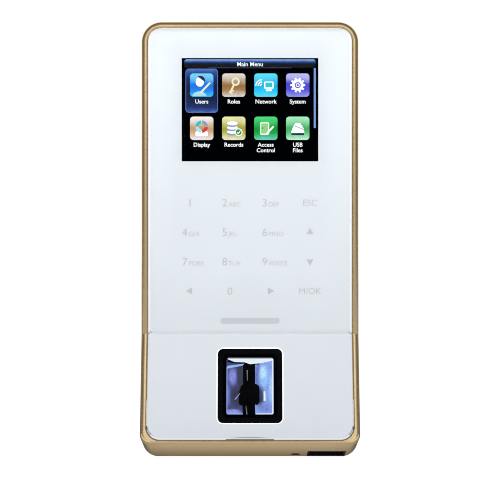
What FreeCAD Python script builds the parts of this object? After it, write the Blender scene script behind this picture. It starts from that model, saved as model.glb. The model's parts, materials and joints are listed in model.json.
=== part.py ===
"""Wall-mounted fingerprint access terminal, as a parametric FreeCAD document.

Millimetres. X runs to the right seen from the front, Z runs up, and the front faces -Y.
The origin is the centre of the wall plate's back face, on the wall, at half the terminal's
height. A "level" below is a distance in front of a local zero plane, so it grows towards -Y.
"""
import FreeCAD, Part
import math
import os
import re

import Sketcher
from FreeCAD import Vector

# ---------------------------------------------------------------------------
# Driving dimensions: alias, value in millimetres (angles in degrees).
# ---------------------------------------------------------------------------
DIMENSIONS = {
    # Outline and side profile of the whole terminal.
    "wide": 78.0,
    "tall": 158.5,
    "upper_depth": 12.6,
    "lip_depth": 19.4,
    "crease_drop": 32.8,
    "lip_drop": 71.3,
    "frame_back": 0.4,
    "corner_radius": 7.3,
    "lip_corner_radius": 3.8,
    # Section of the frame: wall, rim round the panels, ledge they rest on.
    "wall_thick": 2.0,
    "rim": 2.2,
    "rim_bottom": 1.6,
    "rim_round": 1.4,
    "rim_inner_round": 0.35,
    "back_round": 1.0,
    "panel_sink": 0.3,
    "panel_gap": 0.15,
    "ledge_sink": 2.2,
    "ledge_thick": 1.5,
    "ledge_inset": 4.0,
    "pocket_radius": 4.8,
    "bar_tall": 4.2,
    "bar_rise": 1.8,
    "overrun": 5.0,
    # Front glass, printed film and mounting tape.
    "glass_thick": 1.5,
    "film_thick": 0.15,
    "film_bead": 0.35,
    "film_bead_radius": 1.5,
    "film_bead_thick": 0.03,
    "tape_thick": 0.25,
    "tape_radius": 1.0,
    "glass_round": 0.3,
    "seam_gap": 0.08,
    # Display module behind the film.
    "window_wide": 49.2,
    "window_tall": 37.2,
    "window_rise": 47.8,
    "lcd_wide": 60.3,
    "lcd_tall": 42.7,
    "lcd_cell_thick": 1.2,
    "backlight_thick": 1.3,
    "tray_wall": 0.3,
    "tray_back": 0.25,
    # Touch keypad: four columns and four rows of capacitive keys.
    "key_pitch_across": 14.4,
    "key_pitch_up": 10.62,
    "key_rise": 14.35,
    "touch_wide": 62.0,
    "touch_tall": 47.0,
    "touch_rise": -0.5,
    "touch_thick": 1.0,
    "touch_radius": 1.0,
    "key_led_wide": 1.6,
    "key_led_tall": 0.8,
    "key_led_deep": 0.6,
    "coil_wide": 58.0,
    "coil_tall": 43.0,
    "coil_band": 3.0,
    "coil_radius": 2.0,
    "coil_thick": 0.1,
    # Status light bar.
    "bar_wide": 21.3,
    "bar_light_tall": 2.1,
    "bar_light_drop": 28.25,
    "bar_light_radius": 0.95,
    "bar_light_depth": 3.4,
    "status_led_pitch": 6.5,
    # Lower cover and the shallow notch in its lower edge.
    "cover_thick": 1.9,
    "cover_corner": 6.0,
    "cover_round": 0.3,
    "notch_radius": 80.0,
    "notch_rise": 0.8,
    "boss_across": 15.2,
    "boss_pitch": 14.0,
    "boss_radius": 2.0,
    "boss_deep": 3.8,
    # Fingerprint module, laid out on the sloping face.
    "sensor_drop": 18.5,
    "bezel_wide": 22.9,
    "bezel_tall": 26.2,
    "bezel_radius": 1.9,
    "bezel_proud": 0.2,
    "bezel_back": 3.4,
    "bezel_flange": 1.4,
    "bezel_slope_wide": 2.3,
    "bezel_slope_deep": 1.3,
    "prism_wide": 16.9,
    "prism_tall": 20.1,
    "prism_radius": 0.8,
    "prism_sink": 1.5,
    "prism_shoulder": 1.1,
    "prism_back": 4.9,
    "prism_gap": 0.05,
    "gasket_thick": 0.5,
    "gasket_band": 1.6,
    "light_panel_wide": 5.6,
    "light_panel_tall": 19.4,
    "light_panel_thick": 2.0,
    "light_panel_across": 5.7,
    "barrel_wide": 4.4,
    "barrel_tall": 19.4,
    "barrel_back": 7.4,
    "sensor_box_wide": 21.5,
    "sensor_box_tall": 25.0,
    "sensor_box_back": 8.4,
    "sensor_box_wall": 0.8,
    "sensor_box_radius": 1.0,
    "sensor_screw_short": 0.4,
    "ear_wide": 34.4,
    "ear_tall": 4.4,
    "ear_thick": 1.2,
    "sensor_board_thick": 0.8,
    "image_chip_side": 5.0,
    "image_chip_thick": 0.7,
    "sensor_led_side": 1.6,
    "sensor_led_thick": 0.7,
    # Rear cover, its screws and the bosses they bite into.
    "cover_level": 2.0,
    "rear_thick": 1.8,
    "rear_boss_radius": 2.6,
    "corner_boss_across": 32.6,
    "corner_boss_rise": 72.3,
    "side_boss_across": 33.9,
    "side_boss_rise": 2.0,
    "foot_boss_across": 9.0,
    "foot_boss_drop": 70.4,
    "foot_web_drop": 75.2,
    "web_thick": 1.6,
    "rear_screw_radius": 1.2,
    "rear_screw_head": 2.2,
    "rear_screw_head_thick": 1.3,
    "rear_screw_sink": 1.0,
    "rear_screw_reach": 8.0,
    "wiring_wide": 34.0,
    "wiring_tall": 22.0,
    "wiring_rise": 21.0,
    "wiring_radius": 2.0,
    "seal_band": 1.2,
    "seal_proud": 0.6,
    # Main board.
    "board_level": 5.2,
    "board_thick": 1.2,
    "board_half": 30.8,
    "board_top": 69.5,
    "board_bottom": 34.0,
    "board_bevel": 6.0,
    "leg_inner": 18.3,
    "leg_outer": 35.2,
    "leg_bottom": 61.0,
    "board_screw_across": 28.0,
    "board_screw_rise": 66.0,
    "board_screw_drop": 31.8,
    "board_screw_radius": 0.9,
    "board_screw_head": 1.9,
    "board_screw_head_thick": 1.1,
    "board_screw_tip": 0.2,
    "standoff_radius": 2.1,
    # USB socket, sunk through the board's edge, and its black surround.
    "usb_across": 27.8,
    "usb_level": 5.8,
    "usb_wide": 13.1,
    "usb_deep": 5.7,
    "usb_long": 14.0,
    "usb_mouth": 73.4,
    "usb_sheet": 0.3,
    "usb_slot_wide": 13.9,
    "usb_slot_front": 9.6,
    "usb_bezel_thick": 2.0,
    "usb_bezel_slip": 0.1,
    "usb_clear": 0.2,
    "tongue_thick": 1.9,
    "tongue_long": 9.0,
    "tongue_gap": 0.6,
    "tongue_front_gap": 0.4,
    # Loudspeaker against the rear cover.
    "speaker_across": -27.4,
    "speaker_drop": 52.0,
    "speaker_radius": 8.0,
    "speaker_deep": 2.6,
    "speaker_wall": 0.6,
    "magnet_radius": 4.2,
    "magnet_deep": 1.8,
    "foam_thick": 0.4,
    "foam_band": 1.3,
    "basket_hole": 3.2,
    "cone_gap": 0.5,
    "cone_thick": 0.3,
    "dome_radius": 3.0,
    "dome_gap": 0.2,
    "sound_hole_radius": 0.6,
    "sound_hole_pitch": 2.6,
    # Tamper plunger and reset button, both worked from the back.
    "tamper_across": 24.5,
    "tamper_rise": 21.0,
    "tamper_side": 6.0,
    "tamper_back": 2.4,
    "tamper_clear": 0.3,
    "tamper_web": 0.2,
    "plunger_radius": 1.6,
    "plunger_tip": 0.1,
    "plunger_round": 0.5,
    "plunger_stem": 0.9,
    "plunger_stem_end": 4.6,
    "slip": 0.05,
    "reset_across": -24.5,
    "reset_rise": 21.0,
    "reset_radius": 1.8,
    "reset_flange": 2.4,
    "reset_flange_thick": 0.5,
    "reset_stem": 0.7,
    "reset_side": 4.6,
    "reset_switch_thick": 1.2,
    "reset_travel": 0.35,
    "reset_round": 0.3,
    "reset_proud": 0.1,
    "reset_gap": 0.1,
    "reset_bite": 0.5,
    "reset_web": 0.1,
    "reset_ledge": 0.7,
    # Wall plate: folded steel sheet.
    "plate_thick": 1.2,
    "plate_wide": 60.0,
    "plate_top": 66.0,
    "plate_bottom": 62.0,
    "plate_radius": 3.0,
    "tongue_wide": 7.0,
    "tongue_drop": 72.4,
    "tongue_clear": 0.5,
    "tab_reach": 8.0,
    "window_half": 19.0,
    "window_low": 6.0,
    "window_high": 36.0,
    "head_hollow": 4.4,
    "head_hollow_deep": 1.1,
    "gang_spacing": 83.3,
    "wall_screw_across": 48.0,
    "wall_screw_up": 100.0,
    "wall_screw_radius": 2.1,
    "hook_across": 15.0,
    "hook_wide": 6.0,
    "hook_rise": 58.0,
    "hook_reach": 4.9,
    "hook_lip": 3.2,
    "hook_lip_thick": 0.9,
    "hook_clear": 0.5,
    "hook_window_gap": 0.2,
    "hook_slot_tall": 5.0,
    "tamper_window": 3.5,
    # Small parts on the boards: chips, connectors, flat cables, coin cell, relay.
    "processor_side": 14.0,
    "processor_thick": 1.3,
    "processor_across": -10.0,
    "processor_rise": 9.0,
    "memory_wide": 9.0,
    "memory_tall": 7.0,
    "memory_thick": 1.0,
    "memory_across": 6.0,
    "memory_rise": 9.0,
    "memory_pitch": 10.0,
    "inductor_side": 5.0,
    "inductor_thick": 2.0,
    "inductor_across": 22.0,
    "inductor_rise": 0.5,
    "inductor_pitch": 7.0,
    "capacitor_across": 21.0,
    "capacitor_pitch": 5.0,
    "capacitor_rise": 12.0,
    "capacitor_radius": 1.9,
    "capacitor_tall": 2.2,
    "can_wide": 16.0,
    "can_tall": 17.0,
    "can_thick": 1.8,
    "can_wall": 0.2,
    "can_radius": 1.0,
    "can_across": 20.0,
    "can_drop": 19.5,
    "relay_wide": 12.0,
    "relay_tall": 9.0,
    "relay_thick": 4.8,
    "relay_drop": 47.5,
    "cell_holder": 14.6,
    "cell_across": -21.0,
    "cell_drop": 21.0,
    "cell_radius": 6.25,
    "cell_thick": 2.0,
    "cell_floor": 0.3,
    "flex_thick": 0.15,
    "flex_wide": 13.0,
    "flex_step": 0.6,
    "flex_land": 1.0,
    "lcd_plug_wide": 15.0,
    "lcd_plug_tall": 3.0,
    "lcd_plug_thick": 0.6,
    "lcd_plug_rise": 21.5,
    "touch_plug_wide": 12.0,
    "touch_plug_tall": 4.0,
    "touch_plug_rise": -8.5,
    "sensor_plug_wide": 10.0,
    "sensor_plug_tall": 3.0,
    "sensor_plug_thick": 1.0,
    "sensor_plug_drop": 31.5,
    "sensor_flex_wide": 8.0,
    "header_tall": 8.0,
    "header_rise": 24.0,
    "header_deep": 3.6,
    "header_wall": 0.6,
    "header_end": 1.9,
    "power_across": -11.5,
    "network_across": -2.0,
    "lock_across": 9.5,
    "pin_pitch": 2.0,
    "pin_side": 0.5,
    "recess_deep": 0.6,
    "recess_span_ratio": 1.1,
    "recess_arm_ratio": 0.3,
    "usb_bay": 1.6,
    # Securing screw up through the underside.
    "secure_across": 16.6,
    "secure_level": 4.6,
    "secure_radius": 1.0,
    "secure_clear": 1.15,
    "secure_head": 1.6,
    "secure_head_thick": 1.7,
    "secure_seat_drop": 75.0,
    "secure_boss": 3.5,
    "secure_foot_drop": 75.9,
    "secure_boss_top": 72.6,
    "secure_tip_drop": 69.0,
}

# Formulas that several pieces share, written over the sheet's aliases.
TILT = "atan((lip_depth - upper_depth) / (lip_drop - crease_drop))"
UNDER = "atan((tall / 2 - lip_drop) / (lip_depth - frame_back))"
FACE_LONG = "((lip_drop - crease_drop) / cos(%s))" % TILT
COVER_LONG = "(%s - rim_bottom - panel_gap)" % FACE_LONG
GLASS_FRONT = "(upper_depth - panel_sink)"
GLASS_BACK = "(upper_depth - panel_sink - glass_thick)"
FILM_BACK = "(upper_depth - panel_sink - glass_thick - film_thick)"
BOARD_FRONT = "(board_level + board_thick)"
REAR_INNER = "(cover_level + rear_thick)"
BEZEL_FRONT = "(bezel_proud - panel_sink)"

# An edge closer to a plane than this lies on it, in mm.
NEAR = 1e-3

# The sloping face has a frame of its own: origin on the crease, local -Z down the slope,
# and level 0 on the plane that the rim's two bends share.
SLOPE = (
    "placement(vector(0; -upper_depth; -crease_drop); rotation(vector(1; 0; 0); -(%s)))" % TILT
)

document = FreeCAD.newDocument("fingerprint_terminal")
sheet = document.addObject("Spreadsheet::Sheet", "Dims")
pieces = {}


def fill_sheet():
    """Write every driving dimension into its own named cell."""
    for row, (alias, size) in enumerate(DIMENSIONS.items(), start=1):
        sheet.set("A%d" % row, alias)
        sheet.set("B%d" % row, str(size))
        sheet.setAlias("B%d" % row, alias)
    document.recompute()


def on_sheet(formula):
    """The formula with each alias pointing at its cell."""
    def point(word):
        return "Dims." + word.group() if word.group() in DIMENSIONS else word.group()
    return re.sub(r"[a-z_]+", point, str(formula))


def bind(thing, path, formula):
    """Tie one property of an object to the sheet."""
    thing.setExpression(path, on_sheet(formula))


def number(formula):
    """The formula's present value."""
    result = sheet.evalExpression(on_sheet(formula))
    return float(getattr(result, "Value", result))


# ---------------------------------------------------------------------------
# Outlines: each returns a function that draws itself, fully dimensioned, in a sketch.
# ---------------------------------------------------------------------------
def fix_point(sketch, geometry, end, across=None, up=None):
    """Dimension one point of a sketch from the sketch's origin."""
    for kind, formula in (("DistanceX", across), ("DistanceY", up)):
        if formula is not None:
            rule = Sketcher.Constraint(kind, -1, 1, geometry, end, number(formula))
            bind(sketch, "Constraints[%d]" % sketch.addConstraint(rule), formula)


def polygon(*corners):
    """A closed outline through corners given as (across, up) formulas."""
    def draw(sketch):
        places = [Vector(number(across), number(up), 0) for across, up in corners]
        first = sketch.GeometryCount
        count = len(places)
        for here in range(count):
            line = Part.LineSegment(places[here], places[(here + 1) % count])
            sketch.addGeometry(line, False)
        for here in range(count):
            after = first + (here + 1) % count
            sketch.addConstraint(Sketcher.Constraint("Coincident", first + here, 2, after, 1))
        for here, (across, up) in enumerate(corners):
            fix_point(sketch, first + here, 1, across, up)
    return draw


def rectangle(wide, tall, across="0", up="0"):
    """An upright rectangle about a centre."""
    left = "(%s) - (%s) / 2" % (across, wide)
    right = "(%s) + (%s) / 2" % (across, wide)
    low = "(%s) - (%s) / 2" % (up, tall)
    high = "(%s) + (%s) / 2" % (up, tall)
    return polygon((left, low), (right, low), (right, high), (left, high))


def upright(wide, low, high, across="0"):
    """A rectangle between two heights."""
    return rectangle(wide, "(%s) - (%s)" % (high, low), across, "((%s) + (%s)) / 2" % (low, high))


def rounded(wide, tall, radius, across="0", up="0"):
    """An upright rectangle with equal round corners."""
    def draw(sketch):
        left = "(%s) - (%s) / 2" % (across, wide)
        right = "(%s) + (%s) / 2" % (across, wide)
        low = "(%s) - (%s) / 2" % (up, tall)
        high = "(%s) + (%s) / 2" % (up, tall)
        x0, x1, z0, z1, r = (number(f) for f in (left, right, low, high, radius))
        first = sketch.GeometryCount
        runs = [
            (Vector(x0 + r, z0, 0), Vector(x1 - r, z0, 0)),
            (Vector(x1, z0 + r, 0), Vector(x1, z1 - r, 0)),
            (Vector(x1 - r, z1, 0), Vector(x0 + r, z1, 0)),
            (Vector(x0, z1 - r, 0), Vector(x0, z0 + r, 0)),
        ]
        centres = [(x1 - r, z0 + r), (x1 - r, z1 - r), (x0 + r, z1 - r), (x0 + r, z0 + r)]
        for start, end in runs:
            sketch.addGeometry(Part.LineSegment(start, end), False)
        quarter = math.pi / 2
        for turn, (x, z) in enumerate(centres):
            ring = Part.Circle(Vector(x, z, 0), Vector(0, 0, 1), r)
            start = quarter * (turn - 1)
            sketch.addGeometry(Part.ArcOfCircle(ring, start, start + quarter), False)
        for turn in range(4):
            arc = first + 4 + turn
            after = first + (turn + 1) % 4
            sketch.addConstraint(Sketcher.Constraint("Tangent", first + turn, 2, arc, 1))
            sketch.addConstraint(Sketcher.Constraint("Tangent", arc, 2, after, 1))
        for turn in range(3):
            rule = Sketcher.Constraint("Equal", first + 4 + turn, first + 5 + turn)
            sketch.addConstraint(rule)
        for turn, kind in enumerate(("Horizontal", "Vertical", "Horizontal", "Vertical")):
            sketch.addConstraint(Sketcher.Constraint(kind, first + turn))
        rule = Sketcher.Constraint("Radius", first + 4, r)
        bind(sketch, "Constraints[%d]" % sketch.addConstraint(rule), radius)
        fix_point(sketch, first, 1, up=low)
        fix_point(sketch, first + 1, 1, across=right)
        fix_point(sketch, first + 2, 1, up=high)
        fix_point(sketch, first + 3, 1, across=left)
    return draw


def circle(radius, across="0", up="0"):
    """A circle about a centre."""
    def draw(sketch):
        centre = Vector(number(across), number(up), 0)
        ring = Part.Circle(centre, Vector(0, 0, 1), number(radius))
        geometry = sketch.addGeometry(ring, False)
        rule = Sketcher.Constraint("Radius", geometry, number(radius))
        bind(sketch, "Constraints[%d]" % sketch.addConstraint(rule), radius)
        fix_point(sketch, geometry, 3, across, up)
    return draw


# ---------------------------------------------------------------------------
# Pieces: bodies built from pads and pockets that run straight off the wall.
# ---------------------------------------------------------------------------
def settle():
    """Recompute, and stop at the first object that has failed."""
    document.recompute()
    for thing in document.Objects:
        if "Invalid" in thing.State or "Error" in thing.State:
            raise ValueError("%s in %s has failed" % (thing.Name, list(pieces)[-1:]))


class Piece:
    """A PartDesign body. Its sketches lie parallel to the wall, or to the sloping face."""

    def __init__(self, name, place=None, exported=True):
        self.body = document.addObject("PartDesign::Body", name)
        self.body.AllowCompound = True
        if place:
            bind(self.body, "Placement", place)
        if exported:
            export(name, self.body)

    def sketch(self, role, level, outlines):
        """Draw outlines on one of the body's planes, moved off it to a level."""
        plane = next(f for f in self.body.Origin.OriginFeatures if f.Role == role)
        sketch = self.body.newObject("Sketcher::SketchObject", "outline")
        sketch.AttachmentSupport = [(plane, "")]
        sketch.MapMode = "FlatFace"
        bind(sketch, ".AttachmentOffset.Base.z", level)
        for draw in outlines:
            draw(sketch)
        return sketch

    def pad(self, outlines, back, deep):
        """Add material from one level forward."""
        feature = self.body.newObject("PartDesign::Pad", "pad")
        feature.Profile = self.sketch("XZ_Plane", back, outlines)
        bind(feature, "Length", deep)
        settle()
        return self

    def cut(self, outlines, front, deep):
        """Remove material from one level back towards the wall."""
        before = self.body.Shape.Volume
        feature = self.body.newObject("PartDesign::Pocket", "pocket")
        feature.Profile = self.sketch("XZ_Plane", front, outlines)
        bind(feature, "Length", deep)
        settle()
        if self.body.Shape.Volume >= before:
            raise ValueError("a pocket of %s cuts nothing" % self.body.Name)
        return self

    def pad_up(self, outlines, low, high):
        """Add an upright prism from a height. Its outline runs in X and Y."""
        feature = self.body.newObject("PartDesign::Pad", "pad")
        feature.Profile = self.sketch("XY_Plane", low, outlines)
        bind(feature, "Length", high)
        settle()
        return self

    def cut_down(self, outlines, top, deep):
        """Remove an upright prism, downwards from a height."""
        before = self.body.Shape.Volume
        feature = self.body.newObject("PartDesign::Pocket", "pocket")
        feature.Profile = self.sketch("XY_Plane", top, outlines)
        bind(feature, "Length", deep)
        settle()
        if self.body.Shape.Volume >= before:
            raise ValueError("a pocket of %s cuts nothing" % self.body.Name)
        return self

    def pad_across(self, corners, wide, across="0"):
        """Add a side profile of (level, up) corners, as wide as stated, about a middle."""
        feature = self.body.newObject("PartDesign::Pad", "pad")
        outline = polygon(*[("-(%s)" % level, up) for level, up in corners])
        feature.Profile = self.sketch("YZ_Plane", across, [outline])
        feature.SideType = "Symmetric"
        bind(feature, "Length", wide)
        settle()
        return self

    def dress(self, kind, sizes, rule):
        """Round or bevel every edge of the present shape that the rule accepts."""
        shape = self.body.Tip.Shape
        names = ["Edge%d" % (n + 1) for n, edge in enumerate(shape.Edges) if rule(edge)]
        if not names:
            raise ValueError("no edge of %s fits the rule" % self.body.Name)
        base = self.body.Tip
        feature = self.body.newObject("PartDesign::" + kind, kind.lower())
        feature.Base = (base, names)
        for path, size in sizes.items():
            if path == "ChamferType":
                feature.ChamferType = size
            else:
                bind(feature, path, size)
        settle()
        return self

    def take(self, kind, tool):
        """Combine with another body: Cut or Common."""
        feature = self.body.newObject("PartDesign::Boolean", kind.lower())
        feature.setObjects([tool.body])
        feature.Type = kind
        settle()
        return self


def export(name, thing):
    """Register an object as a finished piece under its own name."""
    thing.Label = name
    pieces[name] = thing


def ends(edge):
    """The start, middle and end of an edge."""
    middle = edge.valueAt((edge.FirstParameter + edge.LastParameter) / 2)
    return [edge.valueAt(edge.FirstParameter), middle, edge.valueAt(edge.LastParameter)]


def is_along_y(edge):
    """Whether an edge runs straight off the wall."""
    start, _, end = ends(edge)
    return abs(start.x - end.x) < NEAR and abs(start.z - end.z) < NEAR


def all_at(level):
    """Edges that lie wholly at one level in front of the wall."""
    return lambda edge: all(abs(-p.y - level) < NEAR for p in ends(edge))


def mirrored(outline, *sizes, across, up):
    """The same outline on the left and on the right."""
    return [outline(*sizes, side + "(%s)" % across, up) for side in ("-", "")]


# ---------------------------------------------------------------------------
# Side profiles: slabs bounded by the two front planes and by the underside.
# ---------------------------------------------------------------------------
def front_corners(sink, inset_low):
    """Crease and lip of the front surface, sunk and set in from the underside."""
    crease = ("upper_depth - (%s)" % sink, "-crease_drop - (%s) * tan((%s) / 2)" % (sink, TILT))
    spread = "cos((%s) - (%s))" % (TILT, UNDER)
    lip_level = "lip_depth - ((%s) * cos(%s) + (%s) * sin(%s)) / %s" % (
        sink, UNDER, inset_low, TILT, spread)
    lip_up = "-lip_drop + ((%s) * cos(%s) - (%s) * sin(%s)) / %s" % (
        inset_low, TILT, sink, UNDER, spread)
    return crease, (lip_level, lip_up)


def underside_at(level, inset_low):
    """Height of the sloping underside, set in, at one level."""
    return "-lip_drop + (%s) / cos(%s) + tan(%s) * ((%s) - lip_depth)" % (
        inset_low, UNDER, UNDER, level)


def slab(piece, sink, inset, inset_low, back, radius, low_radius=None):
    """Fill the terminal's side profile, set in on every side, with round corners."""
    top = "tall / 2 - (%s)" % inset
    crease, lip = front_corners(sink, inset_low)
    corners = [(back, top), (crease[0], top), crease, lip, (back, underside_at(back, inset_low))]
    piece.pad_across(corners, "wide - 2 * (%s)" % inset)
    round_corners(piece, radius, low_radius or radius, number("wide / 2 - (%s)" % inset))
    return piece


def round_corners(piece, radius, low_radius, half):
    """Round the edges that run from the wall to the front: two at the top, two below."""
    def runs_forward(edge):
        start, middle, end = ends(edge)
        level_change = abs(start.y - end.y)
        steep = abs(start.z - end.z) > level_change
        return abs(abs(middle.x) - half) < NEAR and level_change > NEAR and not steep
    piece.dress("Fillet", {"Radius": radius},
                lambda edge: runs_forward(edge) and ends(edge)[1].z > 0)
    piece.dress("Fillet", {"Radius": low_radius},
                lambda edge: runs_forward(edge) and ends(edge)[1].z < 0)


def on_front(sink):
    """Edges that lie on the two front planes but are not the crease between them."""
    crease_level = number("upper_depth - (%s)" % sink)
    slope = number("tan(%s)" % TILT)
    crease_up = number(front_corners(sink, "0")[0][1])

    def rule(edge):
        points = ends(edge)
        if all(abs(p.z - crease_up) < NEAR for p in points):
            return False
        return all(
            abs(-p.y - crease_level - max(0.0, crease_up - p.z) * slope) < NEAR for p in points
        )
    return rule


# ---------------------------------------------------------------------------
# Housing
# ---------------------------------------------------------------------------
REAR_BOSSES = [
    ("corner_boss_across", "corner_boss_rise"),
    ("side_boss_across", "side_boss_rise"),
    ("foot_boss_across", "-foot_boss_drop"),
]


def at_rear_bosses(radius):
    return [ring for across, up in REAR_BOSSES
            for ring in mirrored(circle, radius, across=across, up=up)]


def boss_webs():
    """The ribs that join each boss to its nearest wall."""
    side_reach = "wide / 2 - wall_thick / 2 - side_boss_across"
    side_middle = "side_boss_across + (%s) / 2" % side_reach
    top_reach = "tall / 2 - wall_thick / 2 - corner_boss_rise"
    top_middle = "corner_boss_rise + (%s) / 2" % top_reach
    foot_reach = "foot_web_drop - foot_boss_drop"
    foot_middle = "-(foot_boss_drop + foot_web_drop) / 2"
    return [
        mirrored(rectangle, side_reach, "web_thick", across=side_middle, up="side_boss_rise"),
        mirrored(rectangle, "web_thick", top_reach, across="corner_boss_across", up=top_middle),
        mirrored(rectangle, "web_thick", foot_reach, across="foot_boss_across", up=foot_middle),
    ]


def outer_block(name, exported=True):
    """The terminal's whole outside, filled. At the lip its lower corners are tighter than the
    outline they run back to."""
    outline = Piece(name + "_outline", exported=False)
    outline.pad([rounded("wide", "tall + 2 * corner_radius", "corner_radius", "0",
                         "corner_radius")], "frame_back", "lip_depth + overrun")
    outline.dress("Fillet", {"Radius": "back_round"}, all_at(number("frame_back")))
    block = Piece(name, exported=exported)
    slab(block, "0", "0", "0", "frame_back", "corner_radius", "lip_corner_radius")
    block.dress("Fillet", {"Radius": "rim_round"}, on_front("0"))
    block.dress("Fillet", {"Radius": "back_round"}, all_at(number("frame_back")))
    return block.take("Common", outline)


def make_frame():
    """The painted one-piece frame: walls, rim, ledge, screw bosses and underside."""
    front_pocket = Piece("front_pocket", exported=False)
    top = "tall / 2 - rim"
    crease_in, lip_in = front_corners("ledge_sink", "rim_bottom")
    crease_out, lip_out = front_corners("-overrun", "rim_bottom")
    front_pocket.pad_across(
        [(crease_in[0], top), (crease_out[0], top), crease_out, lip_out, lip_in, crease_in],
        "wide - 2 * rim")
    round_corners(front_pocket, "pocket_radius", "pocket_radius", number("wide / 2 - rim"))
    rear_pocket = Piece("rear_pocket", exported=False)
    slab(rear_pocket, "ledge_sink + ledge_thick", "wall_thick", "wall_thick", "-overrun",
         "corner_radius - wall_thick")
    opening = Piece("front_opening", exported=False)
    slab(opening, "-overrun", "ledge_inset", "ledge_inset", "-overrun",
         "corner_radius - ledge_inset")

    frame = outer_block("housing_frame")
    for tool in (front_pocket, rear_pocket, opening):
        frame.take("Cut", tool)
    frame.dress("Fillet", {"Radius": "rim_inner_round"}, rim_inner_edges())
    # The bar behind the seam carries the glass's lower edge and the cover's upper edge.
    ledge_back = "upper_depth - ledge_sink - ledge_thick"
    frame.pad([rectangle("wide - 2 * rim", "bar_tall", "0",
                         "-crease_drop + bar_rise - bar_tall / 2")], ledge_back, "ledge_thick")
    boss_deep = "(%s) - (%s)" % (ledge_back, REAR_INNER)
    frame.pad(at_rear_bosses("rear_boss_radius"), REAR_INNER, boss_deep)
    for web in boss_webs():
        frame.pad(web, REAR_INNER, boss_deep)
    frame.cut(at_rear_bosses("rear_screw_radius"), "rear_screw_reach",
              "rear_screw_reach - (%s)" % REAR_INNER)
    cut_underside(frame)
    return frame


def rim_inner_edges():
    """The rim's inner edges, where the front pocket breaks the two front planes."""
    touches_front = on_front("0")
    inner = number("wide / 2 - rim")
    top = number("tall / 2 - rim")
    low = number(front_corners("0", "rim_bottom")[1][1])

    def rule(edge):
        inside = all(abs(p.x) < inner + NEAR and low - NEAR < p.z < top + NEAR
                     for p in ends(edge))
        return inside and touches_front(edge)
    return rule


def cut_underside(frame):
    """The USB slot, open to the back, and the securing screw's boss and stepped hole."""
    frame.cut([rectangle("usb_slot_wide", "usb_slot_wide", "usb_across", "-tall / 2")],
              "usb_slot_front", "usb_slot_front + overrun")
    frame.pad_up([circle("secure_boss", "secure_across", "-secure_level")], "-secure_foot_drop",
                 "secure_foot_drop - secure_boss_top")
    frame.cut_down([circle("secure_clear", "secure_across", "-secure_level")],
                   "-secure_boss_top + overrun", "tall / 2")
    frame.cut_down([circle("secure_head + panel_gap", "secure_across", "-secure_level")],
                   "-secure_seat_drop", "tall / 2")


def make_front():
    """Glass, printed film and mounting tape above the seam."""
    edge = "(rim + panel_gap)"
    wide = "wide - 2 * %s" % edge
    low = "(-crease_drop + seam_gap)"
    high = "(tall / 2 - %s)" % edge
    tall = "%s - %s" % (high, low)
    middle = "(%s + %s) / 2" % (high, low)
    radius = "pocket_radius - panel_gap"

    def panel(name, back, thick):
        piece = Piece(name).pad([rectangle(wide, tall, "0", middle)], back, thick)
        top = number(high)
        piece.dress("Fillet", {"Radius": radius},
                    lambda e: is_along_y(e) and ends(e)[1].z > top - NEAR)
        return piece

    glass = panel("front_glass", GLASS_BACK, "glass_thick")
    glass.dress("Fillet", {"Radius": "glass_round"}, all_at(number(GLASS_FRONT)))
    film = panel("legend_film", FILM_BACK, "film_thick")
    film.cut([rectangle("window_wide", "window_tall", "0", "window_rise"),
              rounded("bar_wide", "bar_light_tall", "bar_light_radius", "0", "-bar_light_drop")],
             GLASS_BACK, "2 * film_thick")
    # Only a bead of glue round the film's edge touches the glass.
    film.cut([rounded("%s - 2 * film_bead" % wide, "%s - 2 * film_bead" % tall,
                      "film_bead_radius", "0", middle)], GLASS_BACK, "film_bead_thick")
    tape = panel("glass_tape", "upper_depth - ledge_sink", "tape_thick")
    inner_low = "(-crease_drop + bar_rise)"
    inner_high = "(tall / 2 - ledge_inset)"
    tape.cut([rounded("wide - 2 * ledge_inset", "%s - %s" % (inner_high, inner_low),
                      "tape_radius", "0", "(%s + %s) / 2" % (inner_high, inner_low))],
             FILM_BACK, "2 * tape_thick")


def make_lower_cover():
    """The sloping lower cover, with the sensor opening, four bosses and a notch below."""
    middle = "-(seam_gap + (%s)) / 2" % COVER_LONG
    wide = "wide - 2 * rim - 2 * panel_gap"
    cover = Piece("lower_cover", SLOPE)
    cover.pad([rectangle(wide, "%s - seam_gap" % COVER_LONG, "0", middle)],
              "-panel_sink - cover_thick", "cover_thick")
    low = number("-(%s)" % COVER_LONG)
    cover.dress("Fillet", {"Radius": "cover_corner"},
                lambda e: is_along_y(e) and ends(e)[1].z < low + NEAR)
    cover.dress("Fillet", {"Radius": "cover_round"}, all_at(number("-panel_sink")))
    cover.cut([rounded("bezel_wide + 2 * prism_gap", "bezel_tall + 2 * prism_gap",
                       "bezel_radius", "0", "-sensor_drop")], "0", "2 * cover_thick")
    back = "-panel_sink - cover_thick"
    cover.pad(at_sensor_bosses("boss_radius"), "%s - boss_deep" % back, "boss_deep")
    cover.cut(at_sensor_bosses("board_screw_radius"), back, "boss_deep")
    cover.cut([circle("notch_radius", "0", "-(%s) + notch_rise - notch_radius" % COVER_LONG)],
              "0", "2 * cover_thick")


def at_sensor_bosses(radius):
    """The four screw places of the fingerprint module."""
    return [ring for side in ("-", "+")
            for ring in mirrored(circle, radius, across="boss_across",
                                 up="-sensor_drop %s boss_pitch / 2" % side)]


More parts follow.
